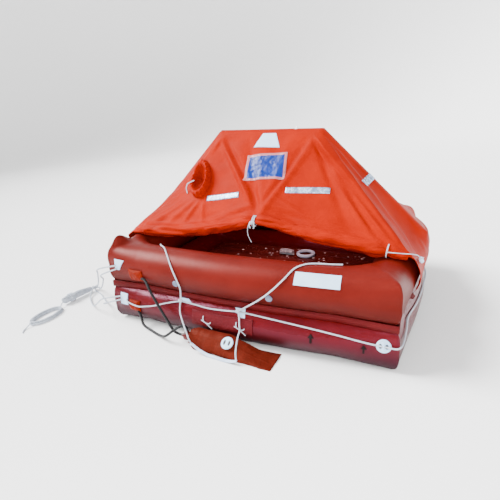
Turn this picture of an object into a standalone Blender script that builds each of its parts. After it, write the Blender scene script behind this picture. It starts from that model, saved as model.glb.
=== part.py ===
"""Six-person inflatable life raft, standing on a floor with its entrance to the front.

Two stacked buoyancy tubes form a rectangle with mitred corners. An inflated arch stands on the
upper tube from the left side to the right side and carries the canopy, which is hollow. The
canopy's door flap is rolled up over the front entrance. X runs to the raft's right, Y to its
back and Z up. The origin is on the floor, under the middle of the tubes.
"""

import math

import bmesh
import bpy
from mathutils import Matrix, Vector
from mathutils.bvhtree import BVHTree

# Driving dimensions, in metres
GAP = 0.0003
END_STEP = 0.0003
SEAT = 0.0008
CORNER_SEAT = 0.0020
STUD_SEAT = 0.0002
CLOTH = 0.003

HALF_LENGTH = 0.862
HALF_WIDTH = 0.632
LONG_BOW = 0.047
SHORT_BOW = 0.035
TUBE_RADIUS = 0.1375
TUBE_HALF_HEIGHT = 0.1327
TUBE_SIDES = 24
SIDE_STEPS = 8
CORNER_POWER = 4.0
MITRE_SLOPE = 0.80
LOWER_LEVEL = TUBE_HALF_HEIGHT
UPPER_LEVEL = 3 * TUBE_HALF_HEIGHT + GAP
SEAM_LEVEL = 2 * TUBE_HALF_HEIGHT + GAP / 2
TUBE_TOP = UPPER_LEVEL + TUBE_HALF_HEIGHT

BAND_REACH = 0.022
BAND_THICKNESS = 0.006
CORNER_BAND_LIFT = 0.004
FLOOR_BOTTOM = 0.0
FLOOR_TOP = 0.168

ARCH_RADIUS = 0.058
RIDGE_HALF = 0.345
RIDGE_LEVEL = 1.131
FOOT_OUT = 0.985
FOOT_LEVEL = 0.511
ARCH_END = 0.10

CANOPY_LIFT = CLOTH + 0.0028
ARCH_LIFT = CLOTH + 0.0020
HEM_ANGLE = math.radians(-18)
HEM_FRONT = -0.45
CORNER_LIFT = 0.10
FOOT_LIFT = 0.012
BACK_LIFT = 0.008

ROLL_RADIUS = 0.034
ROLL_FRONT = -0.445
ROLL_LEVEL = TUBE_TOP + ROLL_RADIUS + GAP
ROLL_SAG = 0.006
ROLL_RISE = 0.13
ROLL_PEAK = 0.10
ROLL_LEFT_SPAN = 0.75
ROLL_RIGHT_SPAN = 0.85
ROLL_LEFT = -0.88
ROLL_RIGHT = 0.93
EDGE_PLACES = (-0.85, -0.68, -0.50, -0.32, -0.11, 0.10, 0.29, 0.48, 0.67, 0.81, 0.90)

ROUND_SIDES = 16
PATCH_THICKNESS = 0.002
FITTING_THICKNESS = 0.003
EYELET_PATCH_THICKNESS = 0.006
COVER_THICKNESS = 0.016

ROPE_RADIUS = 0.0055
HOSE_RADIUS = 0.0085
BRIDLE_RADIUS = 0.005

COLORS = {
    "upper_tube": (0.52, 0.050, 0.022),
    "lower_tube": (0.27, 0.016, 0.016),
    "canopy": (0.80, 0.120, 0.030),
    "pocket": (0.50, 0.075, 0.020),
    "floor": (0.060, 0.022, 0.016),
    "band": (0.30, 0.022, 0.020),
    "rope": (0.74, 0.76, 0.82),
    "white": (0.78, 0.80, 0.84),
    "blue": (0.045, 0.12, 0.33),
    "silver": (0.62, 0.64, 0.66),
    "grey": (0.30, 0.33, 0.42),
    "black": (0.012, 0.012, 0.014),
    "dark_red": (0.22, 0.012, 0.012),
}
ROUGHNESS = {"silver": 0.3, "black": 0.55, "upper_tube": 0.38, "lower_tube": 0.42}


def clear_scene():
    """Empty the scene that Blender opens with."""
    for old in list(bpy.data.objects):
        bpy.data.objects.remove(old)


def make_collection(name):
    """Add a collection to the scene."""
    made = bpy.data.collections.new(name)
    bpy.context.scene.collection.children.link(made)
    return made


def paint(thing, finish):
    """Give an object a material of its own in one of the named finishes."""
    material = bpy.data.materials.new(thing.name + "_finish")
    material.use_nodes = True
    shader = material.node_tree.nodes["Principled BSDF"]
    shader.inputs["Base Color"].default_value = (*COLORS[finish], 1.0)
    shader.inputs["Roughness"].default_value = ROUGHNESS.get(finish, 0.6)
    thing.data.materials.clear()
    thing.data.materials.append(material)


def add_mesh(name, shape, finish, smooth=True):
    """Turn a bmesh into a named and painted object of the raft."""
    mesh = bpy.data.meshes.new(name)
    shape.to_mesh(mesh)
    shape.free()
    thing = bpy.data.objects.new(name, mesh)
    RAFT.objects.link(thing)
    paint(thing, finish)
    if smooth:
        mesh.shade_smooth()
        mesh.set_sharp_from_angle(angle=math.radians(40))
    return thing


def loft(rings, closed=False):
    """Join rings of equal length into one closed skin, capped unless the rings come round."""
    shape = bmesh.new()
    loops = [[shape.verts.new(point) for point in ring] for ring in rings]
    count = len(loops[0])
    pairs = list(zip(loops, loops[1:]))
    if closed:
        pairs.append((loops[-1], loops[0]))
    for first, second in pairs:
        for index in range(count):
            after = (index + 1) % count
            shape.faces.new((first[index], first[after], second[after], second[index]))
    if not closed:
        shape.faces.new(loops[0])
        shape.faces.new(loops[-1])
    bmesh.ops.recalc_face_normals(shape, faces=shape.faces)
    return shape


def side_station(side, along):
    """Centre and outward direction of the tubes at a place along one side."""
    if side in ("front", "back"):
        facing = -1 if side == "front" else 1
        slope = -2 * LONG_BOW * along / HALF_LENGTH ** 2
        centre = Vector((along, facing * (HALF_WIDTH + LONG_BOW * (1 - (along / HALF_LENGTH) ** 2)), 0))
        outward = Vector((-slope, facing, 0)).normalized()
    else:
        facing = -1 if side == "left" else 1
        slope = -2 * SHORT_BOW * along / HALF_WIDTH ** 2
        centre = Vector((facing * (HALF_LENGTH + SHORT_BOW * (1 - (along / HALF_WIDTH) ** 2)), along, 0))
        outward = Vector((facing, -slope, 0)).normalized()
    return centre, outward


def corner_station(right, back):
    """Centre and stretched outward direction in the mitre of one corner."""
    centre = Vector((right * HALF_LENGTH, back * HALF_WIDTH, 0))
    long_normal = side_station("back" if back > 0 else "front", centre.x)[1]
    short_normal = side_station("right" if right > 0 else "left", centre.y)[1]
    middle = (long_normal + short_normal).normalized()
    return centre, middle / middle.dot(long_normal)


def ring_stations():
    """Stations round the whole ring, the corners' mitres among them, each with its corner or None."""
    stations = []
    table = (
        ("front", HALF_LENGTH, -1, (1, -1)),
        ("right", HALF_WIDTH, -1, (1, 1)),
        ("back", HALF_LENGTH, 1, (-1, 1)),
        ("left", HALF_WIDTH, 1, (-1, -1)),
    )
    for side, half, start, corner in table:
        for step in range(1, SIDE_STEPS):
            along = start * half * (1 - 2 * step / SIDE_STEPS)
            stations.append((*side_station(side, along), None))
        stations.append((*corner_station(*corner), corner))
    return stations


def ring_body(profile, corner_profile=None, corners=()):
    """Carry a profile of outward and upward distances round the ring, with another one at some corners."""
    rings = []
    for centre, outward, corner in ring_stations():
        section = corner_profile if corner in corners else profile
        rings.append([centre + outward * out + Vector((0, 0, up)) for out, up in section])
    return loft(rings, closed=True)


def squaring(turn):
    """How much further than a circle the squarish section at a corner reaches at a height angle."""
    power = CORNER_POWER
    return (abs(math.cos(turn)) ** power + abs(math.sin(turn)) ** power) ** (-1 / power)


def tube_profile(level, square=False):
    """Slightly flattened circle of a buoyancy tube, or its squarish section at a corner."""
    profile = []
    for step in range(TUBE_SIDES):
        turn = 2 * math.pi * step / TUBE_SIDES
        reach = squaring(turn) if square else 1.0
        out = TUBE_RADIUS * reach * math.cos(turn)
        up = level + TUBE_HALF_HEIGHT * reach * math.sin(turn)
        profile.append((out, up))
    return profile


def tube_point(side, along, level, degrees, lift):
    """Point at a height angle round a tube, a small distance off its skin."""
    centre, outward = side_station(side, along)
    turn = math.radians(degrees)
    half = HALF_LENGTH if side in ("front", "back") else HALF_WIDTH
    last_round = half * (1 - 2 / SIDE_STEPS)
    span = half - last_round + MITRE_SLOPE * TUBE_RADIUS * math.cos(turn)
    share = min(1.0, max(0.0, (abs(along) - last_round) / span))
    reach = 1 + (squaring(turn) - 1) * share
    out = (TUBE_RADIUS * reach + lift) * math.cos(turn)
    up = level + (TUBE_HALF_HEIGHT * reach + lift) * math.sin(turn)
    return centre + outward * out + Vector((0, 0, up))


FRONT_CORNERS = ((1, -1), (-1, -1))
ALL_CORNERS = ((1, -1), (1, 1), (-1, 1), (-1, -1))


def band_profile(square):
    """Section of the band over the seam, just outside the tubes' own facets."""
    points = [(out, up) for out, up in tube_profile(0.0, square) if out > 0.01 and up > 0]
    points.sort(key=lambda point: point[1])
    wanted = TUBE_HALF_HEIGHT - BAND_REACH
    for low, high in zip(points, points[1:]):
        if low[1] <= wanted <= high[1]:
            share = (wanted - low[1]) / (high[1] - low[1])
            inner = low[0] + (high[0] - low[0]) * share + GAP
    if square:
        inner += CORNER_BAND_LIFT
    outer = inner + BAND_THICKNESS
    band = [(inner, -BAND_REACH), (outer, -BAND_REACH), (outer, BAND_REACH), (inner, BAND_REACH)]
    return [(out, up + SEAM_LEVEL) for out, up in band]


def make_hull():
    """Both buoyancy tubes, the band over their outer seam and the inflated floor."""
    tubes = (
        # name, level, corners with the squarish section
        ("lower_tube", LOWER_LEVEL, ALL_CORNERS),
        ("upper_tube", UPPER_LEVEL, FRONT_CORNERS),
    )
    for name, level, corners in tubes:
        body = ring_body(tube_profile(level), tube_profile(level, square=True), corners)
        add_mesh(name, body, name)
    band = ring_body(band_profile(False), band_profile(True), ALL_CORNERS)
    add_mesh("joining_band", band, "band")
    edge = -(TUBE_RADIUS + GAP)
    rings = []
    for level in (FLOOR_BOTTOM, FLOOR_TOP):
        up = Vector((0, 0, level))
        rings.append([centre + outward * edge + up for centre, outward, _ in ring_stations()])
    add_mesh("floor", loft(rings), "floor")


def smooth_curve(points):
    """Close points on a smooth curve through a route's own points."""
    points = [Vector(point) for point in points]
    padded = [2 * points[0] - points[1]] + points + [2 * points[-1] - points[-2]]
    fine = []
    for index in range(1, len(padded) - 2):
        before, start, end, after = padded[index - 1:index + 3]
        for step in range(24):
            t = step / 24
            fine.append(0.5 * (2 * start + (end - before) * t
                               + (2 * before - 5 * start + 4 * end - after) * t ** 2
                               + (3 * start - before - 3 * end + after) * t ** 3))
    fine.append(points[-1])
    return fine


def even_points(fine, spacing):
    """Points an even spacing apart along a polyline."""
    lengths = [0.0]
    for first, second in zip(fine, fine[1:]):
        lengths.append(lengths[-1] + (second - first).length)
    count = max(2, round(lengths[-1] / spacing))
    route = []
    place = 0
    for step in range(count + 1):
        wanted = lengths[-1] * step / count
        while place < len(fine) - 2 and lengths[place + 1] < wanted:
            place += 1
        span = lengths[place + 1] - lengths[place]
        share = (wanted - lengths[place]) / span if span else 0.0
        route.append(fine[place].lerp(fine[place + 1], min(1.0, share)))
    return route


def start_clear(route, radius, spacing, neighbour):
    """Cut the start of a route off where a tube's end would reach into its neighbour."""
    tree = tree_of(bpy.data.objects[neighbour])
    ahead = round(spacing / END_STEP)
    for index, place in enumerate(route[:-ahead]):
        along = (route[index + ahead] - place).normalized()
        side = along.orthogonal().normalized()
        other = along.cross(side)
        turns = [math.pi * step / 6 for step in range(12)]
        rim = [place] + [place + radius * (side * math.cos(turn) + other * math.sin(turn)) for turn in turns]
        clear = True
        for point in rim:
            nearest, outward, _, distance = tree.find_nearest(point)
            clear = clear and distance > GAP and (point - nearest).dot(outward) > 0
        if clear:
            return route[index:]
    return route


def add_tube(name, points, radius, finish, start=None, end=None, spacing=None, resolution=2):
    """Round tube with filled caps along a smooth route that starts and ends at its neighbours."""
    route = even_points(smooth_curve(points), END_STEP)
    spacing = spacing or 6 * radius
    if start:
        route = start_clear(route, radius, spacing, start)
    if end:
        route = start_clear(route[::-1], radius, spacing, end)[::-1]
    route = even_points(route, spacing)
    data = bpy.data.curves.new(name, "CURVE")
    data.dimensions = "3D"
    data.bevel_depth = radius
    data.bevel_resolution = resolution
    data.use_fill_caps = True
    spline = data.splines.new("POLY")
    spline.points.add(len(route) - 1)
    for control, place in zip(spline.points, route):
        control.co = (*place, 1.0)
    thing = bpy.data.objects.new(name, data)
    RAFT.objects.link(thing)
    paint(thing, finish)
    return thing


def tree_of(thing):
    """Search tree of an object's evaluated mesh."""
    return BVHTree.FromObject(thing, bpy.context.evaluated_depsgraph_get())


def arch_stations():
    """Centre, outward direction and foot share along the arch from its left foot to its right."""
    leg = Vector((FOOT_OUT - RIDGE_HALF, 0, FOOT_LEVEL - RIDGE_LEVEL)).normalized()
    leg_normal = Vector((-leg.z, 0, leg.x))
    bend = (leg_normal + Vector((0, 0, 1))).normalized()
    bend = bend / bend.z
    foot = Vector((FOOT_OUT, 0, FOOT_LEVEL))
    top = Vector((RIDGE_HALF, 0, RIDGE_LEVEL))
    half = [(foot, leg_normal), (top, bend)]
    stations = [(Vector((-c.x, 0, c.z)), Vector((-n.x, 0, n.z))) for c, n in half]
    return stations + half[::-1]


def make_arch():
    """Inflated arch, its feet cut to the upper tube."""
    rings = []
    sides = 16
    left_foot = leg_place(ARCH_END)
    left_ridge = leg_place(1.0)
    for centre, outward in (left_foot, left_ridge, mirrored(left_ridge), mirrored(left_foot)):
        turns = [2 * math.pi * step / sides for step in range(sides)]
        rings.append([centre + ARCH_RADIUS * (outward * math.cos(turn) + Vector((0, math.sin(turn), 0)))
                      for turn in turns])
    arch = add_mesh("arch_tube", loft(rings), "upper_tube")
    profile = [(out * 1.004, UPPER_LEVEL + up * 1.004) for out, up in tube_profile(0.0)]
    cutter = bpy.data.objects.new("tube_cutter", bpy.data.meshes.new("tube_cutter"))
    shape = ring_body(profile)
    shape.to_mesh(cutter.data)
    shape.free()
    CUTTERS.objects.link(cutter)
    cutter.hide_render = True
    cutter.display_type = "WIRE"
    cut = arch.modifiers.new("foot_cut", "BOOLEAN")
    cut.object = cutter
    cut.operation = "DIFFERENCE"
    cut.solver = "EXACT"


def roll_level(x):
    """Height of the rolled flap's middle: flat on the tubes, lifted towards its peak."""
    span = ROLL_LEFT_SPAN if x < ROLL_PEAK else ROLL_RIGHT_SPAN
    return ROLL_LEVEL + ROLL_RISE * max(0.0, 1 - abs(x - ROLL_PEAK) / span) ** 1.3


PANEL_COLUMNS = len(EDGE_PLACES) + 1
PANEL_HEM_HALF = 0.60
ARC_ROWS = 4
SPAN_ROWS = 4
SHOULDER_ROWS = 5
WRAP_MARGIN = math.radians(2.5)
LEAST_LANDING = math.radians(4)


def wrap_angle(centre, radius, across, upward, target):
    """Angle on a circle at which a straight line to the target leaves it."""
    away = target - centre
    flat = math.hypot(away.dot(across), away.dot(upward))
    return math.atan2(away.dot(upward), away.dot(across)) - math.acos(min(1.0, radius / flat))


def shoulder_arc(hem, lift, start):
    """Points of the cloth round the upper tube, from where it lands down to the hem."""
    centre, outward = hem
    middle = centre + Vector((0, 0, UPPER_LEVEL))
    reach = (TUBE_RADIUS + CANOPY_LIFT + lift) * outward.length
    landing = wrap_angle(middle, reach, outward.normalized(), Vector((0, 0, 1)), start)
    landing = max(landing, LEAST_LANDING) + WRAP_MARGIN
    arc = []
    for row in range(SHOULDER_ROWS + 1):
        share = row / SHOULDER_ROWS
        turn = landing + (HEM_ANGLE - landing) * share
        raised = CANOPY_LIFT + lift * (1 - share)
        out = (TUBE_RADIUS + raised) * math.cos(turn)
        up = (TUBE_HALF_HEIGHT + raised) * math.sin(turn)
        arc.append(middle + outward * out + Vector((0, 0, up)))
    return arc


def canopy_column(arch, facing, hem=None, lift=0.0, edge=None, at_foot=False):
    """Points of the cloth from the arch's top down to the hem, or down to a free edge."""
    arch_centre, arch_out = arch
    radius = ARCH_RADIUS + ARCH_LIFT
    side = Vector((0, facing, 0))
    leaving = 0.0
    arc = None
    for _ in range(1 if at_foot else 4):
        start = arch_centre + radius * (arch_out * math.cos(leaving) + side * math.sin(leaving))
        arc = [edge] if edge is not None else shoulder_arc(hem, lift, start)
        if not at_foot:
            leaving = wrap_angle(arch_centre, radius, arch_out.normalized(), side, arc[0]) + WRAP_MARGIN
    points = []
    for row in range(ARC_ROWS):
        turn = leaving * row / ARC_ROWS
        points.append(arch_centre + radius * (arch_out * math.cos(turn) + side * math.sin(turn)))
    start = arch_centre + radius * (arch_out * math.cos(leaving) + side * math.sin(leaving))
    for row in range(SPAN_ROWS):
        points.append(start.lerp(arc[0], row / SPAN_ROWS))
    return points + arc


def mirrored(station):
    """The same station on the other side of the raft."""
    centre, outward = station
    return Vector((-centre.x, centre.y, centre.z)), Vector((-outward.x, outward.y, outward.z))


def leg_place(share):
    """Arch centre and outward direction on the left leg: 0 at the foot, 1 at the ridge's end."""
    foot, ridge = arch_stations()[0:2]
    return foot[0].lerp(ridge[0], share), foot[1].lerp(ridge[1], share)


def canopy_panels():
    """Grids of points of the cloth: two front corners, the front, two back corners and the back."""
    panels = []
    back_table = (
        # share up the arch's leg, hem station
        (0.0, side_station("left", 0.0)),
        (0.1, side_station("left", 0.09)),
        (0.25, side_station("left", 0.20)),
        (0.5, side_station("left", 0.42)),
        (0.75, corner_station(-1, 1)),
        (0.9, side_station("back", -0.74)),
        (1.0, side_station("back", -PANEL_HEM_HALF)),
    )
    front_table = []
    for share in (0.0, 0.1, 0.25, 0.5, 0.75, 0.9, 1.0):
        front_table.append((share, side_station("left", HEM_FRONT * share ** 0.7)))
    for facing, table in ((-1, front_table), (1, back_table)):
        for mirror in (False, True):
            columns = []
            for share, hem in table:
                arch = leg_place(share)
                if mirror:
                    arch = mirrored(arch)
                    hem = mirrored(hem)
                lift = FOOT_LIFT * max(0.0, 1 - share / 0.3)
                if share > 0.4:
                    lift = CORNER_LIFT * (share - 0.4) / 0.6 if facing < 0 else BACK_LIFT
                columns.append(canopy_column(arch, facing, hem, lift, at_foot=share == 0.0))
            panels.append(columns)
    free_rows = ARC_ROWS + SPAN_ROWS + 1
    front = [panels[0][-1][:free_rows]]
    back = [panels[2][-1]]
    for step, x in enumerate(EDGE_PLACES, 1):
        share = 2 * step / PANEL_COLUMNS - 1
        arch = (Vector((RIDGE_HALF * share, 0, RIDGE_LEVEL)), Vector((0, 0, 1)))
        edge = Vector((x, ROLL_FRONT, roll_level(x) + ROLL_RADIUS + CLOTH + ROLL_SAG))
        front.append(canopy_column(arch, -1, edge=edge))
        back.append(canopy_column(arch, 1, side_station("back", PANEL_HEM_HALF * share), BACK_LIFT))
    front.append(panels[1][-1][:free_rows])
    back.append(panels[3][-1])
    return panels + [front, back]


PORT_PLACE = Vector((-0.438, -0.24, 0.90))
PORT_FACING = Vector((0, -0.8, 0.6))
PORT_LEAN = math.radians(15)
PORT_HALF_WIDTH = 0.060
PORT_HALF_HEIGHT = 0.100
SLEEVE_THICKNESS = 0.020
SLEEVE_HEIGHT = 0.038


def port_frame(tree):
    """Middle of the window port on the cloth, with its across, upward and outward directions."""
    place, outward, _, _ = tree.ray_cast(PORT_PLACE + PORT_FACING * 0.3, -PORT_FACING)
    level = Vector((0, 0, 1)).cross(outward).normalized()
    across = (Matrix.Rotation(PORT_LEAN, 3, outward) @ level).normalized()
    upward = outward.cross(across).normalized()
    return place, across, upward, outward


def make_canopy():
    """Hollow cloth shell over the arch, with its entrance open and a window port cut through."""
    shape = bmesh.new()
    for columns in canopy_panels():
        grid = [[shape.verts.new(point) for point in column] for column in columns]
        for left, right in zip(grid, grid[1:]):
            for row in range(len(left) - 1):
                corners = (left[row], left[row + 1], right[row + 1], right[row])
                shape.faces.new(corners)
    bmesh.ops.remove_doubles(shape, verts=shape.verts, dist=0.0001)
    bmesh.ops.recalc_face_normals(shape, faces=shape.faces)
    highest = max(shape.faces, key=lambda face: face.calc_center_median().z)
    if highest.normal.z < 0:
        bmesh.ops.reverse_faces(shape, faces=shape.faces)
    bmesh.ops.triangulate(shape, faces=shape.faces)
    canopy = add_mesh("canopy", shape, "canopy")
    wall = canopy.modifiers.new("cloth_wall", "SOLIDIFY")
    wall.thickness = CLOTH
    wall.offset = -1
    wall.use_even_offset = True
    return canopy


def cut_port(canopy, frame):
    """Cut the window port through the cloth."""
    place, across, upward, outward = frame
    rings = []
    for depth in (-0.05, 0.05):
        rings.append([place + outward * depth
                      + across * PORT_HALF_WIDTH * math.cos(2 * math.pi * step / 20)
                      + upward * PORT_HALF_HEIGHT * math.sin(2 * math.pi * step / 20)
                      for step in range(20)])
    cutter = bpy.data.objects.new("port_cutter", bpy.data.meshes.new("port_cutter"))
    shape = loft(rings)
    shape.to_mesh(cutter.data)
    shape.free()
    CUTTERS.objects.link(cutter)
    cutter.hide_render = True
    cutter.display_type = "WIRE"
    cut = canopy.modifiers.new("port_cut", "BOOLEAN")
    cut.object = cutter
    cut.operation = "DIFFERENCE"
    cut.solver = "EXACT"


def make_sleeve(tree, frame):
    """Short gathered sleeve that stands round the window port."""
    place, across, upward, outward = frame
    profile = (
        (1.04, 0.0),
        (1.04 + SLEEVE_THICKNESS / PORT_HALF_WIDTH, 0.0),
        (1.12 + SLEEVE_THICKNESS / PORT_HALF_WIDTH, SLEEVE_HEIGHT * 0.6),
        (1.0 + SLEEVE_THICKNESS / PORT_HALF_WIDTH, SLEEVE_HEIGHT),
        (0.98, SLEEVE_HEIGHT * 0.9),
    )
    rings = []
    for step in range(20):
        turn = 2 * math.pi * step / 20
        reach = across * PORT_HALF_WIDTH * math.cos(turn) + upward * PORT_HALF_HEIGHT * math.sin(turn)
        ring = []
        for scale, height in profile:
            high = place + reach * scale + outward * 0.2
            hit = tree.ray_cast(high, -outward)[0]
            ring.append(hit + outward * (height + SEAT))
        rings.append(ring)
    add_mesh("window_sleeve", loft(rings, closed=True), "canopy")


def make_roll():
    """Door flap rolled up along the front edge of the canopy."""
    places = (ROLL_LEFT,) + EDGE_PLACES[1:-1] + (ROLL_RIGHT,)
    points = [(x, ROLL_FRONT, roll_level(x)) for x in places]
    add_tube("entrance_roll", points, ROLL_RADIUS, "canopy", spacing=0.08, resolution=4)


def raise_clear(shape, tree, outward):
    """Raise a shape along a direction in small steps until it lies clear of the cloth."""
    clear = False
    while not clear:
        bmesh.ops.translate(shape, verts=shape.verts, vec=outward * GAP)
        clear = not BVHTree.FromBMesh(shape).overlap(tree)
    bmesh.ops.translate(shape, verts=shape.verts, vec=outward * GAP)


def cloth_patch(name, trees, middle, across, upward, size, finish, taper=0.0):
    """Thin patch lying on the canopy, about a middle point and along two directions."""
    shape = bmesh.new()
    bmesh.ops.create_grid(shape, x_segments=8, y_segments=4, size=1.0)
    outward = across.cross(upward).normalized()
    for vert in shape.verts:
        width = size[0] * (1 - taper * (vert.co.y + 1) / 2)
        flat = middle + across * width * vert.co.x + upward * size[1] * vert.co.y
        vert.co = trees[0].ray_cast(flat + outward * 0.3, -outward)[0]
    bmesh.ops.recalc_face_normals(shape, faces=shape.faces)
    first = next(iter(shape.faces))
    if first.normal.dot(outward) < 0:
        bmesh.ops.reverse_faces(shape, faces=shape.faces)
    raise_clear(shape, trees[1], outward)
    patch = add_mesh(name, shape, finish)
    wall = patch.modifiers.new("patch_wall", "SOLIDIFY")
    wall.thickness = PATCH_THICKNESS
    wall.offset = 1
    return patch


def make_cloth_patches(tree, cut_tree):
    """Blank sign, blank patch above it and the reflective tapes on the canopy."""
    flat_across = Vector((1, 0, 0))
    front_up = Vector((0, 0.66, 0.75)).normalized()
    back_across = Vector((-1, 0, 0))
    back_up = Vector((0, -0.66, 0.75)).normalized()
    table = (
        # name, middle, across, up, half width, half height, finish, taper
        ("sign_panel", (0.042, -0.205, 0.983), (1.0, 0.05, 0.066), front_up, 0.140, 0.096, "blue", 0.0),
        ("blank_patch", (0.018, -0.078, 1.128), flat_across, front_up, 0.092, 0.052, "white", 0.5),
        ("reflective_tape_left", (-0.218, -0.337, 0.804), (0.99, 0.0, 0.14), front_up,
         0.124, 0.020, "silver", 0.0),
        ("reflective_tape_middle", (0.352, -0.293, 0.862), (0.99, 0.12, 0.0), front_up,
         0.138, 0.021, "silver", 0.0),
        ("reflective_tape_right", (0.672, -0.140, 0.940), (0.0, 0.80, 0.60), (-0.7, 0.0, 0.7),
         0.095, 0.021, "silver", 0.0),
        ("reflective_tape_back_left", (-0.30, 0.34, 0.86), back_across, back_up, 0.110, 0.020, "silver", 0.0),
        ("reflective_tape_back_right", (0.30, 0.34, 0.86), back_across, back_up, 0.110, 0.020, "silver", 0.0),
    )
    for name, middle, across, upward, half_width, half_height, finish, taper in table:
        across = Vector(across).normalized()
        upward = Vector(upward)
        upward = (upward - across * upward.dot(across)).normalized()
        size = (half_width, half_height)
        cloth_patch(name, (tree, cut_tree), Vector(middle), across, upward, size, finish, taper)


def make_light():
    """Small lamp on top of the ridge."""
    shape = bmesh.new()
    bmesh.ops.create_cone(shape, cap_ends=True, segments=ROUND_SIDES,
                          radius1=0.022, radius2=0.014, depth=0.022)
    top = RIDGE_LEVEL + ARCH_RADIUS + ARCH_LIFT + GAP
    bmesh.ops.translate(shape, verts=shape.verts, vec=(0.19, 0, top + 0.011))
    add_mesh("canopy_light", shape, "white")


def tube_patch(name, side, along, level, degrees, size, finish, thickness, steps=(4, 4), seat=SEAT):
    """Rectangular patch wrapped on the outer skin of a tube."""
    shape = bmesh.new()
    bmesh.ops.create_grid(shape, x_segments=steps[0], y_segments=steps[1], size=1.0)
    width, height = size
    reach = math.degrees(height / 2 / TUBE_RADIUS)
    for vert in shape.verts:
        vert.co = tube_point(side, along + vert.co.x * width / 2, level, degrees + vert.co.y * reach, seat)
    bmesh.ops.recalc_face_normals(shape, faces=shape.faces)
    outward = tube_point(side, along, level, degrees, 1.0) - tube_point(side, along, level, degrees, 0.0)
    if next(iter(shape.faces)).normal.dot(outward) < 0:
        bmesh.ops.reverse_faces(shape, faces=shape.faces)
    patch = add_mesh(name, shape, finish)
    wall = patch.modifiers.new("patch_wall", "SOLIDIFY")
    wall.thickness = thickness
    wall.offset = 1
    return patch


def disc_patch(name, side, along, level, degrees, radius, finish="white"):
    """Round patch wrapped on the outer skin of a tube."""
    rings = []
    for share, lift in ((0.3, SEAT), (0.65, SEAT), (1.0, SEAT), (1.0, 0.004), (0.65, 0.007), (0.3, 0.008)):
        ring = []
        for step in range(16):
            turn = 2 * math.pi * step / 16
            angle = degrees + math.degrees(radius * share * math.sin(turn) / TUBE_RADIUS)
            ring.append(tube_point(side, along + radius * share * math.cos(turn), level, angle, lift))
        rings.append(ring)
    add_mesh(name, loft(rings), finish)


def stud(name, side, along, level, degrees, radius, height, finish):
    """Round fitting that stands straight out of a tube."""
    base = tube_point(side, along, level, degrees, STUD_SEAT)
    tip = tube_point(side, along, level, degrees, STUD_SEAT + height)
    shape = bmesh.new()
    bmesh.ops.create_cone(shape, cap_ends=True, segments=ROUND_SIDES, radius1=radius,
                          radius2=radius * 0.8, depth=height)
    turn = (tip - base).to_track_quat("Z", "Y").to_matrix().to_4x4()
    bmesh.ops.transform(shape, verts=shape.verts, matrix=Matrix.Translation((base + tip) / 2) @ turn)
    add_mesh(name, shape, finish)


def knot(name, place, radius, finish="rope"):
    """Plain round knot."""
    shape = bmesh.new()
    bmesh.ops.create_uvsphere(shape, u_segments=16, v_segments=10, radius=radius)
    bmesh.ops.translate(shape, verts=shape.verts, vec=place)
    add_mesh(name, shape, finish)


KNOT_RADIUS = 0.014
KNOT_LIFT = KNOT_RADIUS + GAP
ROPE_LIFT = ROPE_RADIUS + 0.0018
OVER_COVER = 0.0245
OVER_FLAP = 0.018
OVER_CREASE = 0.012
ON_PATCH = 0.0124
LOWER_KNOTS = {"knot_left": -0.322, "knot_middle": 0.081}
KNOT_ANGLE = 45
DISC_ANGLE = 14
DISC_RADIUS = 0.038
CORNER_DISCS = {
    "disc_patch_front_right": ("front", 0.895),
    "disc_patch_back_right": ("back", 0.895),
    "disc_patch_back_left": ("back", -0.895),
}


def rope_on(level, side, table):
    """Route on one of the tubes from a table of places along the side, height angles and lifts."""
    route = []
    for along, degrees, *lift in table:
        route.append(tube_point(side, along, level, degrees, lift[0] if lift else ROPE_LIFT))
    return route


def corner_point(right, back, degrees, lift):
    """Point on the lower tube's mitre at one corner."""
    centre, outward = corner_station(right, back)
    turn = math.radians(degrees)
    up = LOWER_LEVEL + (TUBE_HALF_HEIGHT * squaring(turn) + lift) * math.sin(turn)
    return centre + outward * (TUBE_RADIUS * squaring(turn) + lift) * math.cos(turn) + Vector((0, 0, up))


def make_fittings():
    """Patches, plugs, valve, covers and the strap on the tubes."""
    tubes = {"lower": LOWER_LEVEL, "upper": UPPER_LEVEL}
    patches = (
        # name, tube, along the front, height angle, size, finish, thickness, steps, seat
        ("blank_plate", "upper", 0.549, 43, (0.245, 0.078), "white", FITTING_THICKNESS, (6, 4), SEAT),
        ("bridle_patch_upper", "upper", -0.775, 8, (0.085, 0.070), "white", EYELET_PATCH_THICKNESS, (4, 4),
         SEAT),
        ("bridle_patch_lower", "lower", -0.795, 18, (0.080, 0.075), "white", EYELET_PATCH_THICKNESS, (4, 4),
         CORNER_SEAT),
        ("hose_cover_upper", "upper", -0.640, -12, (0.110, 0.075), "canopy", COVER_THICKNESS, (4, 4), SEAT),
        ("hose_cover_lower", "lower", -0.680, 5, (0.080, 0.072), "canopy", COVER_THICKNESS, (4, 4), SEAT),
        ("stowage_flap", "lower", -0.030, 14, (0.420, 0.115), "lower_tube", EYELET_PATCH_THICKNESS, (8, 4),
         SEAT),
    )
    for name, tube, along, degrees, size, finish, thickness, steps, seat in patches:
        tube_patch(name, "front", along, tubes[tube], degrees, size, finish, thickness, steps, seat)
    studs = (
        # name, side, along it, height angle, radius, height, finish
        ("grey_plug_left", "front", -0.323, -15, 0.020, 0.009, "grey"),
        ("grey_plug_right", "front", 0.288, -15, 0.020, 0.009, "grey"),
        ("side_valve", "right", -0.452, -30, 0.020, 0.022, "dark_red"),
    )
    for name, side, along, degrees, radius, height, finish in studs:
        stud(name, side, along, UPPER_LEVEL, degrees, radius, height, finish)
    for name, along in LOWER_KNOTS.items():
        place = tube_point("front", along, LOWER_LEVEL, KNOT_ANGLE, KNOT_LIFT)
        knot(name, place, KNOT_RADIUS)


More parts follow.
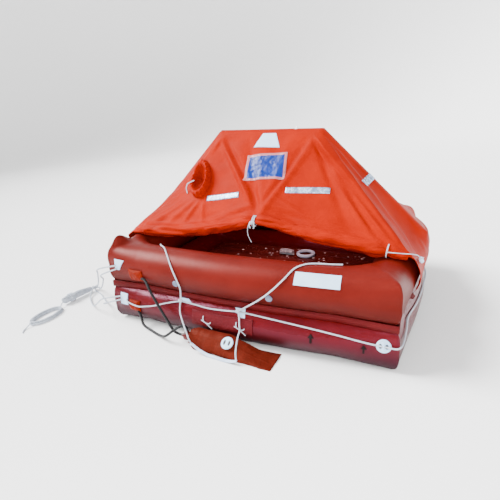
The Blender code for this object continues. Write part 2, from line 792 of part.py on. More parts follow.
def make_lifelines():
    """Rope that hangs in bights round the lower tube, between its patches and knots."""
    for name, (side, along) in CORNER_DISCS.items():
        disc_patch(name, side, along, LOWER_LEVEL, DISC_ANGLE, DISC_RADIUS)
    left = LOWER_KNOTS["knot_left"]
    middle = LOWER_KNOTS["knot_middle"]
    route = rope_on(LOWER_LEVEL, "front", (
        # along the front, height angle, lift where it isn't on the tube
        (-0.757, 18), (-0.730, 14, OVER_COVER), (-0.68, 10, OVER_COVER), (-0.63, 9, OVER_COVER),
        (-0.59, 11, 0.012), (-0.52, 18), (-0.42, 33), (left, KNOT_ANGLE),
    ))
    add_tube("lifeline_front_left", route, ROPE_RADIUS, "rope", "bridle_patch_lower", "knot_left")
    route = rope_on(LOWER_LEVEL, "front", (
        (left, KNOT_ANGLE), (-0.22, 43), (-0.117, 40), (0.0, 42), (middle, KNOT_ANGLE),
    ))
    add_tube("lifeline_front_middle", route, ROPE_RADIUS, "rope", "knot_left", "knot_middle")
    disc = CORNER_DISCS["disc_patch_front_right"][1]
    route = rope_on(LOWER_LEVEL, "front", (
        (middle, KNOT_ANGLE), (0.18, 43), (0.278, 40), (0.462, 34), (0.65, 26), (0.80, 18),
        (disc, DISC_ANGLE),
    ))
    add_tube("lifeline_front_right", route, ROPE_RADIUS, "rope", "knot_middle", "disc_patch_front_right")
    low = DISC_ANGLE
    side_route = ((-0.60, 24), (-0.48, 34), (-0.25, 26), (0.0, 22), (0.25, 26), (0.48, 34), (0.60, 24))
    for side, turn in (("right", 1), ("left", -1)):
        points = rope_on(LOWER_LEVEL, side, side_route)
        points.append(corner_point(turn, 1, low + 2, ROPE_LIFT))
        points.append(tube_point("back", turn * disc, LOWER_LEVEL, low, ROPE_LIFT))
        start = None
        if side == "right":
            points.insert(0, corner_point(1, -1, low + 2, ROPE_LIFT))
            points.insert(0, tube_point("front", disc, LOWER_LEVEL, low, ROPE_LIFT))
            start = "disc_patch_front_right"
        add_tube("lifeline_" + side, points, ROPE_RADIUS, "rope", start, "disc_patch_back_" + side)
    route = rope_on(LOWER_LEVEL, "back", (
        (-disc, low), (-0.65, 20), (-0.40, 26), (0.0, 20), (0.40, 26), (0.65, 20), (disc, low),
    ))
    add_tube("lifeline_back", route, ROPE_RADIUS, "rope", "disc_patch_back_left", "disc_patch_back_right")


def make_boarding_ropes():
    """Ropes that run over the upper tube to the knots, and the step that hangs below them."""
    knots = [tube_point("front", along, LOWER_LEVEL, KNOT_ANGLE, KNOT_LIFT) for along in LOWER_KNOTS.values()]
    left = rope_on(UPPER_LEVEL, "front", ((-0.575, 116), (-0.53, 98), (-0.476, 84), (-0.40, 55), (-0.345, 28),
                                          (-0.305, 0), (-0.295, -28, OVER_CREASE)))
    add_tube("boarding_rope_left", left + knots[:1], ROPE_RADIUS, "rope", end="knot_left")
    right = rope_on(UPPER_LEVEL, "front", ((0.66, 104), (0.60, 98), (0.527, 95), (0.467, 86), (0.415, 66),
                                           (0.37, 36), (0.304, 6), (0.22, -24, OVER_CREASE)))
    add_tube("boarding_rope_right", right + knots[1:], ROPE_RADIUS, "rope", end="knot_middle")
    left = knots[:1] + rope_on(LOWER_LEVEL, "front", ((-0.312, 28), (-0.302, 6), (-0.285, -8, 0.014)))
    left += [Vector(place) for place in (
        (-0.245, -0.842, 0.1235), (-0.215, -0.866, 0.1215), (-0.192, -0.902, 0.1160),
        (-0.178, -0.937, 0.090), (-0.174, -0.943, 0.050), (-0.173, -0.943, 0.0112),
    )]
    add_tube("step_rope_left", left, ROPE_RADIUS, "rope", "knot_left")
    right = knots[1:] + rope_on(LOWER_LEVEL, "front", (
        (0.098, 31, OVER_FLAP), (0.104, 16, OVER_FLAP), (0.106, 2, OVER_FLAP),
    ))
    right += [Vector(place) for place in (
        (0.112, -0.880, 0.128), (0.119, -0.925, 0.112), (0.124, -0.960, 0.075),
        (0.126, -0.970, 0.045), (0.126, -0.969, 0.0112),
    )]
    add_tube("step_rope_right", right, ROPE_RADIUS, "rope", "knot_middle")


def make_pocket():
    """Pocket on the floor in front of the tubes, with the gas cylinder inside it."""
    left_end = -0.205
    right_end = 0.345
    cylinder_out = 0.190
    cylinder_level = 0.052
    cylinder_radius = 0.040
    rings = []
    for share in (0.0, 0.04, 0.35, 0.7, 0.97, 1.0):
        x = left_end + (right_end - left_end) * share
        centre = side_station("front", x)[0]
        front = 0.243 + 0.045 * share
        high = 0.106 if 0.0 < share < 1.0 else 0.100
        section = [(0.150, high), (0.190, high + 0.004), (0.225, high - 0.006), (front, 0.075),
                   (front + 0.006, 0.045), (front, 0.012), (front - 0.012, 0.002), (0.112, 0.002)]
        for turn in (-45, -30, -15):
            turn = math.radians(turn)
            section.append(((TUBE_RADIUS + SEAT) * math.cos(turn),
                            LOWER_LEVEL + (TUBE_HALF_HEIGHT + SEAT) * math.sin(turn)))
        rings.append([Vector((x, centre.y - out, up)) for out, up in section])
    pocket = add_mesh("gas_pocket", loft(rings), "pocket")
    axis_y = side_station("front", 0.0)[0].y - cylinder_out
    body_length = 0.46
    head = (
        # distance out of the pocket's mouth, radius
        (-0.012, 0.018), (0.006, 0.018), (0.008, 0.026), (0.052, 0.026), (0.056, 0.020),
    )
    profile = [(body_length, 0.024), (body_length - 0.02, cylinder_radius), (0.02, cylinder_radius)]
    rings = []
    for out, radius in [(-along, size) for along, size in profile] + list(head):
        ring = []
        for step in range(16):
            turn = 2 * math.pi * step / 16
            ring.append(Vector((left_end - out, axis_y + radius * math.cos(turn),
                                cylinder_level + radius * math.sin(turn))))
        rings.append(ring)
    add_mesh("gas_cylinder", loft(rings), "dark_red")
    cutter = bpy.data.objects.new("bore_cutter", bpy.data.meshes.new("bore_cutter"))
    rings = []
    bore = cylinder_radius + GAP
    for along in (-0.02, body_length + 0.001):
        rings.append([Vector((left_end + along, axis_y + bore * math.cos(math.pi * step / 8),
                              cylinder_level + bore * math.sin(math.pi * step / 8))) for step in range(16)])
    shape = loft(rings)
    shape.to_mesh(cutter.data)
    shape.free()
    CUTTERS.objects.link(cutter)
    cutter.hide_render = True
    cutter.display_type = "WIRE"
    cut = pocket.modifiers.new("bore", "BOOLEAN")
    cut.object = cutter
    cut.operation = "DIFFERENCE"
    cut.solver = "EXACT"
    disc = []
    middle = Vector((0.078, axis_y - 0.004, 0.110 + SEAT))
    for radius, height in ((DISC_RADIUS, 0.0), (DISC_RADIUS, 0.004), (DISC_RADIUS * 0.6, 0.007)):
        turns = [math.pi * step / 8 for step in range(16)]
        disc.append([middle + Vector((radius * math.cos(turn), 0.6 * radius * math.sin(turn), height))
                     for turn in turns])
    add_mesh("pocket_disc", loft(disc), "white")
    block = Vector((left_end - 0.056, axis_y, cylinder_level))
    hose_a = (
        tube_point("front", -0.592, UPPER_LEVEL, -16, HOSE_RADIUS + 0.002),
        tube_point("front", -0.560, UPPER_LEVEL, -20, HOSE_RADIUS + 0.004), (-0.515, -0.828, 0.290),
        (-0.455, -0.842, 0.205), (-0.395, -0.854, 0.125), (-0.340, axis_y - 0.002, 0.070),
        block - Vector((0.035, 0, 0)), block + Vector((0.004, 0, 0)),
    )
    add_tube("hose_upper", hose_a, HOSE_RADIUS, "black", "hose_cover_upper", "gas_cylinder")
    top = Vector((left_end - 0.036, axis_y, cylinder_level + 0.026 + SEAT))
    hose_b = (
        tube_point("front", -0.660, LOWER_LEVEL, -8, HOSE_RADIUS + 0.002),
        tube_point("front", -0.655, LOWER_LEVEL, -24, HOSE_RADIUS + 0.002), (-0.622, -0.822, 0.032),
        (-0.555, -0.838, 0.0135), (-0.460, -0.872, 0.0130), (-0.380, -0.912, 0.045),
        (-0.315, -0.912, 0.095), (-0.268, axis_y - 0.010, 0.122), top + Vector((-0.004, 0, 0.032)),
        top + Vector((0, 0, 0.014)), top - Vector((0, 0, 0.006)),
    )
    add_tube("hose_lower", hose_b, HOSE_RADIUS, "black", "hose_cover_lower", "gas_cylinder")
    strap = []
    for place in (-0.182, -0.08, 0.02, 0.132):
        share = (place - left_end) / (right_end - left_end)
        y = side_station("front", place)[0].y - (0.243 + 0.045 * share) - 0.006 - 0.014
        strap.append([Vector((place, y + wide, 0.0075 + high)) for wide, high in
                      ((-0.010, -0.003), (0.010, -0.003), (0.010, 0.003), (-0.010, 0.003))])
    add_mesh("step_strap", loft(strap), "blue")


def make_painter():
    """Bow line on the floor: four short legs, a bound bundle, an oval coil and its tail."""
    knot_place = Vector((-1.415, -0.458, 0.022))
    radius = 0.020
    knot("bridle_knot", knot_place, radius)
    legs = (
        # place on the corner's patch, points on the way, direction in which it meets the knot
        (("front", -0.800, UPPER_LEVEL, 8),
         ((-0.97, -0.790, 0.375), (-1.06, -0.720, 0.300), (-1.20, -0.600, 0.170), (-1.32, -0.510, 0.070)),
         (0.78, -0.12, 0.60)),
        (("front", -0.800, UPPER_LEVEL, -1),
         ((-0.96, -0.785, 0.330), (-1.05, -0.690, 0.245), (-1.19, -0.585, 0.120), (-1.31, -0.500, 0.045)),
         (0.93, 0.25, 0.05)),
        (("front", -0.815, LOWER_LEVEL, 23),
         ((-0.98, -0.790, 0.150), (-1.07, -0.760, 0.090), (-1.18, -0.710, 0.022), (-1.33, -0.590, 0.012)),
         (0.55, -0.75, 0.35)),
        (("front", -0.815, LOWER_LEVEL, 14),
         ((-0.980, -0.785, 0.112), (-1.05, -0.700, 0.060), (-1.15, -0.610, 0.012), (-1.30, -0.512, 0.008)),
         (0.80, -0.50, -0.30)),
    )
    for number, (start, points, towards) in enumerate(legs, 1):
        direction = Vector(towards).normalized()
        lift = ON_PATCH + (CORNER_SEAT - SEAT if start[2] == LOWER_LEVEL else 0)
        route = [tube_point(*start, lift)] + list(points)
        route += [knot_place + direction * (radius + 0.025), knot_place + direction * radius * 0.7]
        add_tube("bridle_leg_%d" % number, route, BRIDLE_RADIUS, "rope", end="bridle_knot")
    bundle = (
        # x, y, height of the middle, radius
        (-1.417, -0.4789, 0.0215, 0.008), (-1.420, -0.490, 0.022, 0.016), (-1.434, -0.530, 0.0245, 0.022),
        (-1.440, -0.590, 0.029, 0.028), (-1.444, -0.660, 0.033, 0.032), (-1.448, -0.720, 0.027, 0.026),
        (-1.446, -0.750, 0.022, 0.012), (-1.420, -0.7836, 0.022, 0.005),
    )
    turns = [math.pi * step / 6 for step in range(12)]
    rings = []
    for x, y, level, size in bundle:
        middle = Vector((x, y, level))
        rings.append([middle + size * Vector((math.cos(turn), 0, math.sin(turn))) for turn in turns])
    add_mesh("painter_bundle", loft(rings), "rope")
    eighths = [math.pi * side / 4 for side in range(8)]
    coil_middle = Vector((-1.418, -0.930, 0.0))
    long_half = 0.125
    short_half = 0.058
    thick = 0.021
    rings = []
    for step in range(24):
        turn = 2 * math.pi * step / 24
        outward = Vector((short_half * math.cos(turn), long_half * math.sin(turn), 0))
        normal = Vector((math.cos(turn) / short_half, math.sin(turn) / long_half, 0)).normalized()
        middle = coil_middle + outward + Vector((0, 0, thick + 0.001))
        rings.append([middle + thick * (normal * math.cos(side) + Vector((0, 0, math.sin(side))))
                      for side in eighths])
    add_mesh("painter_coil", loft(rings, closed=True), "rope")
    tail = ((-1.418, -1.070, 0.021), (-1.418, -1.088, 0.016), (-1.417, -1.105, 0.0065),
            (-1.408, -1.130, 0.0065), (-1.385, -1.160, 0.0065))
    add_tube("painter_tail", tail, BRIDLE_RADIUS, "rope", "painter_coil")


def make_inside():
    """Throwing ring and its bundled line on the inflated floor."""
    ring_radius = 0.062
    thick = 0.014
    ring_middle = Vector((0.115, 0.350, FLOOR_TOP + thick + SEAT))
    rings = []
    for step in range(20):
        turn = 2 * math.pi * step / 20
        outward = Vector((math.cos(turn), math.sin(turn), 0))
        middle = ring_middle + outward * ring_radius
        rings.append([middle + thick * (outward * math.cos(side) + Vector((0, 0, math.sin(side))))
                      for side in [math.pi * step / 4 for step in range(8)]])
    add_mesh("throwing_ring", loft(rings, closed=True), "rope")
    rings = []
    for along, size in ((-0.075, 0.014), (-0.06, 0.022), (0.0, 0.026), (0.05, 0.022), (0.07, 0.014)):
        rings.append([Vector((-0.040 + along, 0.330, FLOOR_TOP + size + SEAT))
                      + Vector((0, size * math.cos(math.pi * step / 6), size * math.sin(math.pi * step / 6)))
                      for step in range(12)])
    add_mesh("throwing_line", loft(rings), "rope")


def make_toggle(tree):
    """Small block that fastens the flap's cord to the canopy's right corner."""
    place, outward, _, _ = tree.find_nearest(Vector((1.03, -0.345, 0.50)))
    shape = bmesh.new()
    bmesh.ops.create_cube(shape, size=1.0)
    bmesh.ops.scale(shape, verts=shape.verts, vec=(0.046, 0.026, 0.020))
    turn = outward.to_track_quat("Z", "Y").to_matrix().to_4x4()
    bmesh.ops.transform(shape, verts=shape.verts, matrix=Matrix.Translation(place + outward * 0.010) @ turn)
    raise_clear(shape, tree, outward)
    add_mesh("corner_toggle", shape, "white", smooth=False)


def build():
    """Model every piece of the raft."""
    make_hull()
    make_arch()
    canopy = make_canopy()
    tree = tree_of(canopy)
    frame = port_frame(tree)
    make_sleeve(tree, frame)
    cut_port(canopy, frame)
    make_cloth_patches(tree, tree_of(canopy))
    make_roll()
    make_light()
    make_toggle(tree_of(canopy))
    make_fittings()
    make_lifelines()
    make_boarding_ropes()
    make_pocket()
    make_painter()
    make_inside()


clear_scene()
RAFT = make_collection("life_raft")
CUTTERS = make_collection("cutters")
build()
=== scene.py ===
"""Six-person inflatable life raft with its canopy up and its door flap rolled over the entrance.

The shapes are numpy arrays in the raft's own frame: X to its right, Y to its back, Z up, in metres.
The origin is on the floor, under the middle of the tubes.
"""

import math

import bmesh
import bpy
import numpy as np
from mathutils import Matrix, Vector
from mathutils.bvhtree import BVHTree


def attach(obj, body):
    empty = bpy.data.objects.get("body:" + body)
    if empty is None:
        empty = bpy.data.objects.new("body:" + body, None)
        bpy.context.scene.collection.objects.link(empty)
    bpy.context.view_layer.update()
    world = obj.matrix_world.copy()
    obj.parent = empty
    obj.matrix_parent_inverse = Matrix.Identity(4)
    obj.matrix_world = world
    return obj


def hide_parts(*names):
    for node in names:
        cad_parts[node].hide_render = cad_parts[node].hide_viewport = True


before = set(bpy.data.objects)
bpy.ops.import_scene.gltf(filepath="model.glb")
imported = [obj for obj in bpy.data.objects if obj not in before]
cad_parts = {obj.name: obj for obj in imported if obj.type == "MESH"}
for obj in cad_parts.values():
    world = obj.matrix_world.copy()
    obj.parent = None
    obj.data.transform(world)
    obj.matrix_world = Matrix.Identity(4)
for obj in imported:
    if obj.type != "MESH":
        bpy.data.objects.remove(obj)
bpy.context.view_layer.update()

# Sizes, places and angles, most of them as in the part
GAP = 0.0003
CLOTH = 0.003
HALF_LENGTH = 0.862
HALF_WIDTH = 0.632
LONG_BOW = 0.047
SHORT_BOW = 0.035
TUBE_RADIUS = 0.1375
TUBE_HALF_HEIGHT = 0.1327
LOWER_LEVEL = TUBE_HALF_HEIGHT
UPPER_LEVEL = 3 * TUBE_HALF_HEIGHT + GAP
SEAM_LEVEL = 2 * TUBE_HALF_HEIGHT + GAP / 2
TUBE_TOP = UPPER_LEVEL + TUBE_HALF_HEIGHT
FLOOR_TOP = 0.168
ARCH_RADIUS = 0.058
RIDGE_HALF = 0.345
RIDGE_LEVEL = 1.131
FOOT_OUT = 0.985
FOOT_LEVEL = 0.511
CANOPY_LIFT = CLOTH + 0.0028
ARCH_LIFT = CLOTH + 0.0020
HEM_ANGLE = math.radians(-18)
HEM_FRONT = -0.45
LEFT_CORNER_LIFT = 0.030
RIGHT_CORNER_LIFT = 0.050
LEFT_CORNER_HEM = math.radians(48)
FOOT_LIFT = 0.012
BACK_LIFT = 0.008
ROLL_RADIUS = 0.034
ROLL_FRONT = -0.445
ROLL_SIZES = ((-0.96, -0.90, -0.80, -0.62, -0.35, -0.12, 0.20, 0.50, 0.80, 0.90, 0.98),
              (0.008, 0.018, 0.034, 0.043, 0.042, 0.035, 0.034, 0.041, 0.042, 0.032, 0.014))
MIDDLE_TIE = 0.062
RIGHT_TIE = 0.86
ROLL_TIES = ((MIDDLE_TIE, 0.36, 0.030), (RIGHT_TIE, 0.24, 0.030))
ROLL_WRAP = math.radians(115)
ROLL_RISE = 0.13
ROLL_PEAK = 0.10
ROLL_LEFT_SPAN = 0.75
ROLL_RIGHT_SPAN = 0.85
ROLL_LEFT = -0.95
ROLL_RIGHT = 0.97
EDGE_PLACES = (-0.85, -0.68, -0.50, -0.32, -0.11, 0.10, 0.29, 0.48, 0.67, 0.81, 0.90)
PANEL_HEM_HALF = 0.60
PORT_PLACE = np.array([-0.438, -0.24, 0.90])
PORT_ACROSS = np.array([0.9725, 0.1055, 0.2076])
PORT_UP = np.array([-0.2293, 0.5890, 0.7749])
PORT_OUT = np.array([-0.0406, -0.8012, 0.5970])
PORT_HALF_WIDTH = 0.062
PORT_HALF_HEIGHT = 0.106
ROPE_RADIUS = 0.0047
HOSE_RADIUS = 0.0085
BRIDLE_RADIUS = 0.005
KNOT_RADIUS = 0.014
KNOT_LIFT = KNOT_RADIUS + GAP
ROPE_LIFT = ROPE_RADIUS + 0.0018
OVER_COVER = 0.0245
OVER_FLAP = 0.018
OVER_CREASE = 0.012
ON_PATCH = 0.0124
ON_LOWER_PATCH = 0.0140
SIDE_STEPS = 8
CORNER_POWER = 4.0
MITRE_SLOPE = 0.80
ALL_CORNERS = ((-1, -1), (1, -1), (1, 1), (-1, 1))
FRONT_CORNERS = ((-1, -1), (1, -1))
EAR_RISE = 0.060
EAR_PLACE = 0.21
EAR_WIDTH = 0.050
EAR_LENGTH = 0.045
CORNER_DRAW = 0.088
BACK_CORNER_DRAW = 0.100
LEG_LEFT = ((0, 1), (0, 0.14))
LEG_RIGHT = ((0, 1), (0, 1))
LEG_BACK = ((0, 0.25, 0.5, 0.75, 0.9, 1), (0, 0.04, 0.10, 0.20, 0.52, 1))
LEFT_RIDGE = -0.5
BAND_CORNER_OUT = 0.0500
LEFT_KNOT = -0.322
MIDDLE_KNOT = 0.081
KNOT_ANGLE = 45
DISC_ANGLE = 14
DISC_PLACE = 0.895
DISC_RADIUS = 0.038
POCKET_LEFT = -0.205
POCKET_RIGHT = 0.345
POCKET_FRONT = 0.243
POCKET_FLARE = 0.045
CYLINDER_OUT = 0.190
CYLINDER_LEVEL = 0.052

UP = np.array([0.0, 0.0, 1.0])


# Arrays and meshes

def unit(vectors):
    """Vectors divided by their lengths."""
    return vectors / np.linalg.norm(vectors, axis=-1, keepdims=True)


def smoothstep(low, high, values):
    """Three t squared less two t cubed, where t runs from 0 at low to 1 at high."""
    share = np.clip((values - low) / (high - low), 0, 1)
    return share * share * (3 - 2 * share)


def lumps(scaled, seed):
    """Smooth random field of about -1 to 1 with features one unit wide.

    Random values on a cubic lattice are blended between the eight corners of each cell.
    """
    table = np.random.default_rng(seed).uniform(-1, 1, (32, 32, 32))
    place = np.asarray(scaled, float) + 331.7
    base = np.floor(place).astype(int)
    share = place - base
    share = share * share * (3 - 2 * share)
    total = np.zeros(place.shape[:-1])
    for corner in np.ndindex(2, 2, 2):
        index = (base + corner) % 32
        weight = np.prod(np.where(corner, share, 1 - share), axis=-1)
        total += weight * table[index[..., 0], index[..., 1], index[..., 2]]
    return total


def noise(seed, *axes):
    """Smooth random field over coordinates that are already divided by the size of its features."""
    return lumps(np.stack(np.broadcast_arrays(*axes), -1), seed)


def full_turn(count):
    """Angles of a full turn in equal steps, without the last one."""
    return np.linspace(0, 2 * math.pi, count, endpoint=False)


def square_grid(columns, rows):
    """Places from -1 to 1 across and along a grid."""
    return np.meshgrid(np.linspace(-1, 1, columns), np.linspace(-1, 1, rows), indexing="ij")


def smooth_through(points, steps=24):
    """Curve through points: each span is a cubic, and its slope at a point is that between the neighbours."""
    points = np.asarray(points, float)
    padded = np.vstack([2 * points[:1] - points[1:2], points, 2 * points[-1:] - points[-2:-1]])
    t = (np.arange(steps) / steps)[None, :, None]
    before, start, end, after = (padded[i:len(padded) - 3 + i, None] for i in range(4))
    spans = 0.5 * (2 * start + (end - before) * t + (2 * before - 5 * start + 4 * end - after) * t ** 2
                   + (3 * start - before - 3 * end + after) * t ** 3)
    return np.vstack([spans.reshape(-1, points.shape[1]), points[-1:]])


def line_length(points):
    """Sum of the distances between neighbouring points."""
    return float(np.linalg.norm(np.diff(points, axis=0), axis=1).sum())


def even(points, spacing):
    """Points an even distance apart along a polyline."""
    steps = np.linalg.norm(np.diff(points, axis=0), axis=1)
    along = np.concatenate([[0], np.cumsum(steps)])
    count = max(3, int(round(along[-1] / spacing)) + 1)
    wanted = np.linspace(0, along[-1], count)
    return np.stack([np.interp(wanted, along, points[:, axis]) for axis in range(points.shape[1])], -1)


def grid_faces(rows, columns, wrap_rows=False, wrap_columns=False, first=0):
    """Corner indices of the quads of a grid of rows times columns points."""
    row = np.arange(rows if wrap_rows else rows - 1)[:, None]
    column = np.arange(columns if wrap_columns else columns - 1)[None, :]
    next_row = (row + 1) % rows
    next_column = (column + 1) % columns
    quads = np.stack(np.broadcast_arrays(row * columns + column, next_row * columns + column,
                                         next_row * columns + next_column, row * columns + next_column), -1)
    return quads.reshape(-1, 4) + first


def tube_faces(rings, sides, ends=2):
    """Quads round a closed section that is carried along, and caps on its first ring or on both ends."""
    faces = [tuple(face) for face in grid_faces(rings, sides, wrap_columns=True)]
    caps = [tuple(range(sides)), tuple(range((rings - 1) * sides, rings * sides))]
    return faces + caps[:ends]


def rings_round(line, side, other, radius, turn):
    """Points round a line: the radius times the turn's cosine to its side, and times the sine across that."""
    return (line[:, None] + side[:, None] * (radius * np.cos(turn))[..., None]
            + other[:, None] * (radius * np.sin(turn))[..., None])


def make_object(name, points, faces, uv=None, marks=None, facing=None):
    """Object of a surface, with marks on its points.

    The faces are turned outwards. Where a facing direction is given, the surface is open, and is
    turned over if its first face looks against it, so with a direction of zero it stays as it is.
    """
    mesh = bpy.data.meshes.new(name)
    mesh.from_pydata(np.asarray(points).reshape(-1, 3).tolist(), [], [list(face) for face in faces])
    if marks is not None:
        # The marks are a mask of painted shade, which the material turns dark.
        layer = mesh.attributes.new("painted_shade", "FLOAT", "POINT")
        layer.data.foreach_set("value", np.asarray(marks, np.float32).ravel())
    if uv is not None:
        corners = np.empty(len(mesh.loops), dtype=np.int32)
        mesh.loops.foreach_get("vertex_index", corners)
        layer = mesh.uv_layers.new(name="UVMap")
        layer.data.foreach_set("uv", np.asarray(uv, np.float32).reshape(-1, 2)[corners].ravel())
    if facing is None:
        shape = bmesh.new()
        shape.from_mesh(mesh)
        bmesh.ops.recalc_face_normals(shape, faces=shape.faces)
        shape.to_mesh(mesh)
        shape.free()
    elif mesh.polygons[0].normal.dot(Vector(facing)) < 0:
        mesh.flip_normals()
    mesh.shade_smooth()
    made = bpy.data.objects.new(name, mesh)
    bpy.context.scene.collection.objects.link(made)
    return made


def finish_piece(made, slot, *nodes):
    """Paint a piece with its slot's material, let it ride on the body and hide the nodes it replaces."""
    made.data.materials.clear()
    made.data.materials.append(FINISHES[slot])
    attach(made, "root")
    if nodes:
        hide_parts(*nodes)
    return made


def make_piece(name, points, faces, slot, *nodes, **form):
    """Object of a surface that is finished at once."""
    return finish_piece(make_object(name, points, faces, **form), slot, *nodes)


def thicken(made, thickness, offset=1.0):
    """Give a surface a wall on one side or the other."""
    wall = made.modifiers.new("wall", "SOLIDIFY")
    wall.thickness = thickness
    wall.offset = offset
    return made


# Places on the tubes

def side_place(side, along):
    """Centre line and outward direction of one side: a parabola bowed outwards, and its normal."""
    along = np.asarray(along, float)
    zero = np.zeros_like(along)
    facing = -1.0 if side in ("front", "left") else 1.0
    if side in ("front", "back"):
        bowed = facing * (HALF_WIDTH + LONG_BOW * (1 - (along / HALF_LENGTH) ** 2))
        centre = np.stack([along, bowed, zero], -1)
        outward = np.stack([2 * LONG_BOW * along / HALF_LENGTH ** 2, zero + facing, zero], -1)
    else:
        bowed = facing * (HALF_LENGTH + SHORT_BOW * (1 - (along / HALF_WIDTH) ** 2))
        centre = np.stack([bowed, along, zero], -1)
        outward = np.stack([zero + facing, 2 * SHORT_BOW * along / HALF_WIDTH ** 2, zero], -1)
    return centre, unit(outward)


def corner_place(right, back):
    """Corner of the centre line, and the outward direction in its mitre, stretched to meet both sides."""
    long_normal = side_place("back" if back > 0 else "front", right * HALF_LENGTH)[1]
    short_normal = side_place("right" if right > 0 else "left", back * HALF_WIDTH)[1]
    middle = unit(long_normal + short_normal)
    centre = np.array([right * HALF_LENGTH, back * HALF_WIDTH, 0.0])
    return centre, middle / (middle @ long_normal)


def drawn_in(points):
    """Two corners drawn in: x moves by a draw times smooth shares of the way to the corner."""
    x = points[..., 0]
    y = points[..., 1]
    shift = CORNER_DRAW * smoothstep(-0.78, -1.0, x) * smoothstep(-0.28, -0.62, y)
    shift = shift - BACK_CORNER_DRAW * smoothstep(0.78, 1.0, x) * smoothstep(0.28, 0.62, y)
    return points + shift[..., None] * np.array([1.0, 0.0, 0.0])


def squaring(turn):
    """Reach of the squarish section: cosine and sine to the fourth power, summed, to the minus quarter."""
    total = np.abs(np.cos(turn)) ** CORNER_POWER + np.abs(np.sin(turn)) ** CORNER_POWER
    return total ** (-1 / CORNER_POWER)


def corner_share(half, along, out):
    """Share of the squarish section: 0 up to the last round station, then in proportion to 1 at the mitre."""
    last_round = half * (1 - 2 / SIDE_STEPS)
    return np.clip((np.abs(along) - last_round) / (half - last_round + MITRE_SLOPE * out), 0, 1)


def tube_place(side, along, level, degrees, lift):
    """Points at height angles round a tube, small distances off its skin."""
    centre, outward = side_place(side, along)
    turn = np.radians(degrees)
    half = HALF_LENGTH if side in ("front", "back") else HALF_WIDTH
    reach = 1 + (squaring(turn) - 1) * corner_share(half, along, TUBE_RADIUS * np.cos(turn))
    out = (TUBE_RADIUS * reach + lift) * np.cos(turn)
    up = level + (TUBE_HALF_HEIGHT * reach + lift) * np.sin(turn)
    return drawn_in(centre + outward * np.asarray(out)[..., None] + UP * np.asarray(up)[..., None])


SIDES = (
    # side, half its length, direction of travel round the ring, corners at its start and end
    ("front", HALF_LENGTH, 1, (-1, -1), (1, -1)),
    ("right", HALF_WIDTH, 1, (1, -1), (1, 1)),
    ("back", HALF_LENGTH, -1, (1, 1), (-1, 1)),
    ("left", HALF_WIDTH, -1, (-1, 1), (-1, -1)),
)


def ring_surface(profile, spacing, ripple, cornered=None, squared=()):
    """Points of a closed profile carried round the four sides, mitre to mitre.

    profile holds outward and upward distances. A point is the side's centre plus its outward
    direction times the outward distance. That direction is sheared towards the mitre's own in
    proportion to the way along the side. Near the corners named in squared, the profile turns
    into the cornered one. ripple gives how far each point is moved off the skin.
    """
    normals = unit(np.stack([np.roll(profile[:, 1], -1) - np.roll(profile[:, 1], 1),
                             np.roll(profile[:, 0], 1) - np.roll(profile[:, 0], -1)], -1))
    cornered = profile if cornered is None else cornered
    around = np.linspace(0, 1, len(profile), endpoint=False)
    rings = []
    for number, (side, half, travel, first, last) in enumerate(SIDES):
        share = np.linspace(-1, 1, int(2 * half / spacing) + 1)[:-1]
        centre, outward = side_place(side, share * half * travel)
        start_shear = corner_place(*first)[1] - side_place(side, -half * travel)[1]
        end_shear = corner_place(*last)[1] - side_place(side, half * travel)[1]
        shear = np.where(share[:, None] < 0, start_shear, end_shear)
        outward = outward + np.abs(share[:, None]) * shear
        along = np.broadcast_to((share * half)[:, None], (len(share), len(profile)))
        to_seam = half - np.abs(along)
        moved = ripple(number, along, to_seam, np.broadcast_to(around, along.shape))
        near = np.where(share < 0, first in squared, last in squared)[:, None]
        leaned = np.abs(along) + MITRE_SLOPE * np.abs(share)[:, None] * profile[None, :, 0]
        weight = (near * corner_share(half, leaned, profile[None, :, 0]))[..., None]
        flat = profile[None] * (1 - weight) + cornered[None] * weight + normals[None] * moved[..., None]
        rings.append((centre[:, None] + outward[:, None] * flat[..., :1] + UP * flat[..., 1:]))
    return drawn_in(np.concatenate(rings))


def tube_ripple(crease, seed, ear):
    """Puckers of an inflated tube: along its glued crease, beside the mitre seams, and a seam tape.

    crease is the place round the tube, from 0 to 1, of the crease between the two tubes. ear is the
    height of the tip that stands up at the front left corner's top.
    """
    def ripple(number, along, to_seam, around):
        """Sum of the puckers, the soft waves, the tape's height and the tip."""
        at_tip = (number == 0) * (along < 0) + (number == 3) * (along > 0)
        tip = ear * at_tip * np.exp(-(to_seam / EAR_LENGTH) ** 2 - ((around - EAR_PLACE) / EAR_WIDTH) ** 2)
        turn = np.abs((around - crease + 0.5) % 1 - 0.5) * 2 * math.pi
        girth = around * 2 * math.pi * TUBE_RADIUS
        base = number * 5.3
        near = np.exp(-(turn / 0.75) ** 2)
        patchy = 0.45 + 0.55 * smoothstep(-0.5, 0.6, noise(seed + 4, along / 0.22, base, 1.5))
        puckers = noise(seed, along / 0.030, girth / 0.16, base) * near * 0.0040 * patchy
        fine = noise(seed + 5, along / 0.014, girth / 0.07, base + 2) * near ** 2 * 0.0014
        seams = noise(seed + 1, to_seam / 0.11, girth / 0.024, base + 9) * np.exp(-to_seam / 0.055) * 0.0038
        soft = noise(seed + 2, along / 0.16, girth / 0.14, base + 4) * 0.0012
        tape = 0.0013 * (1 - smoothstep(0.017, 0.021, to_seam))
        return puckers + fine + seams + soft + tape + tip
    return ripple


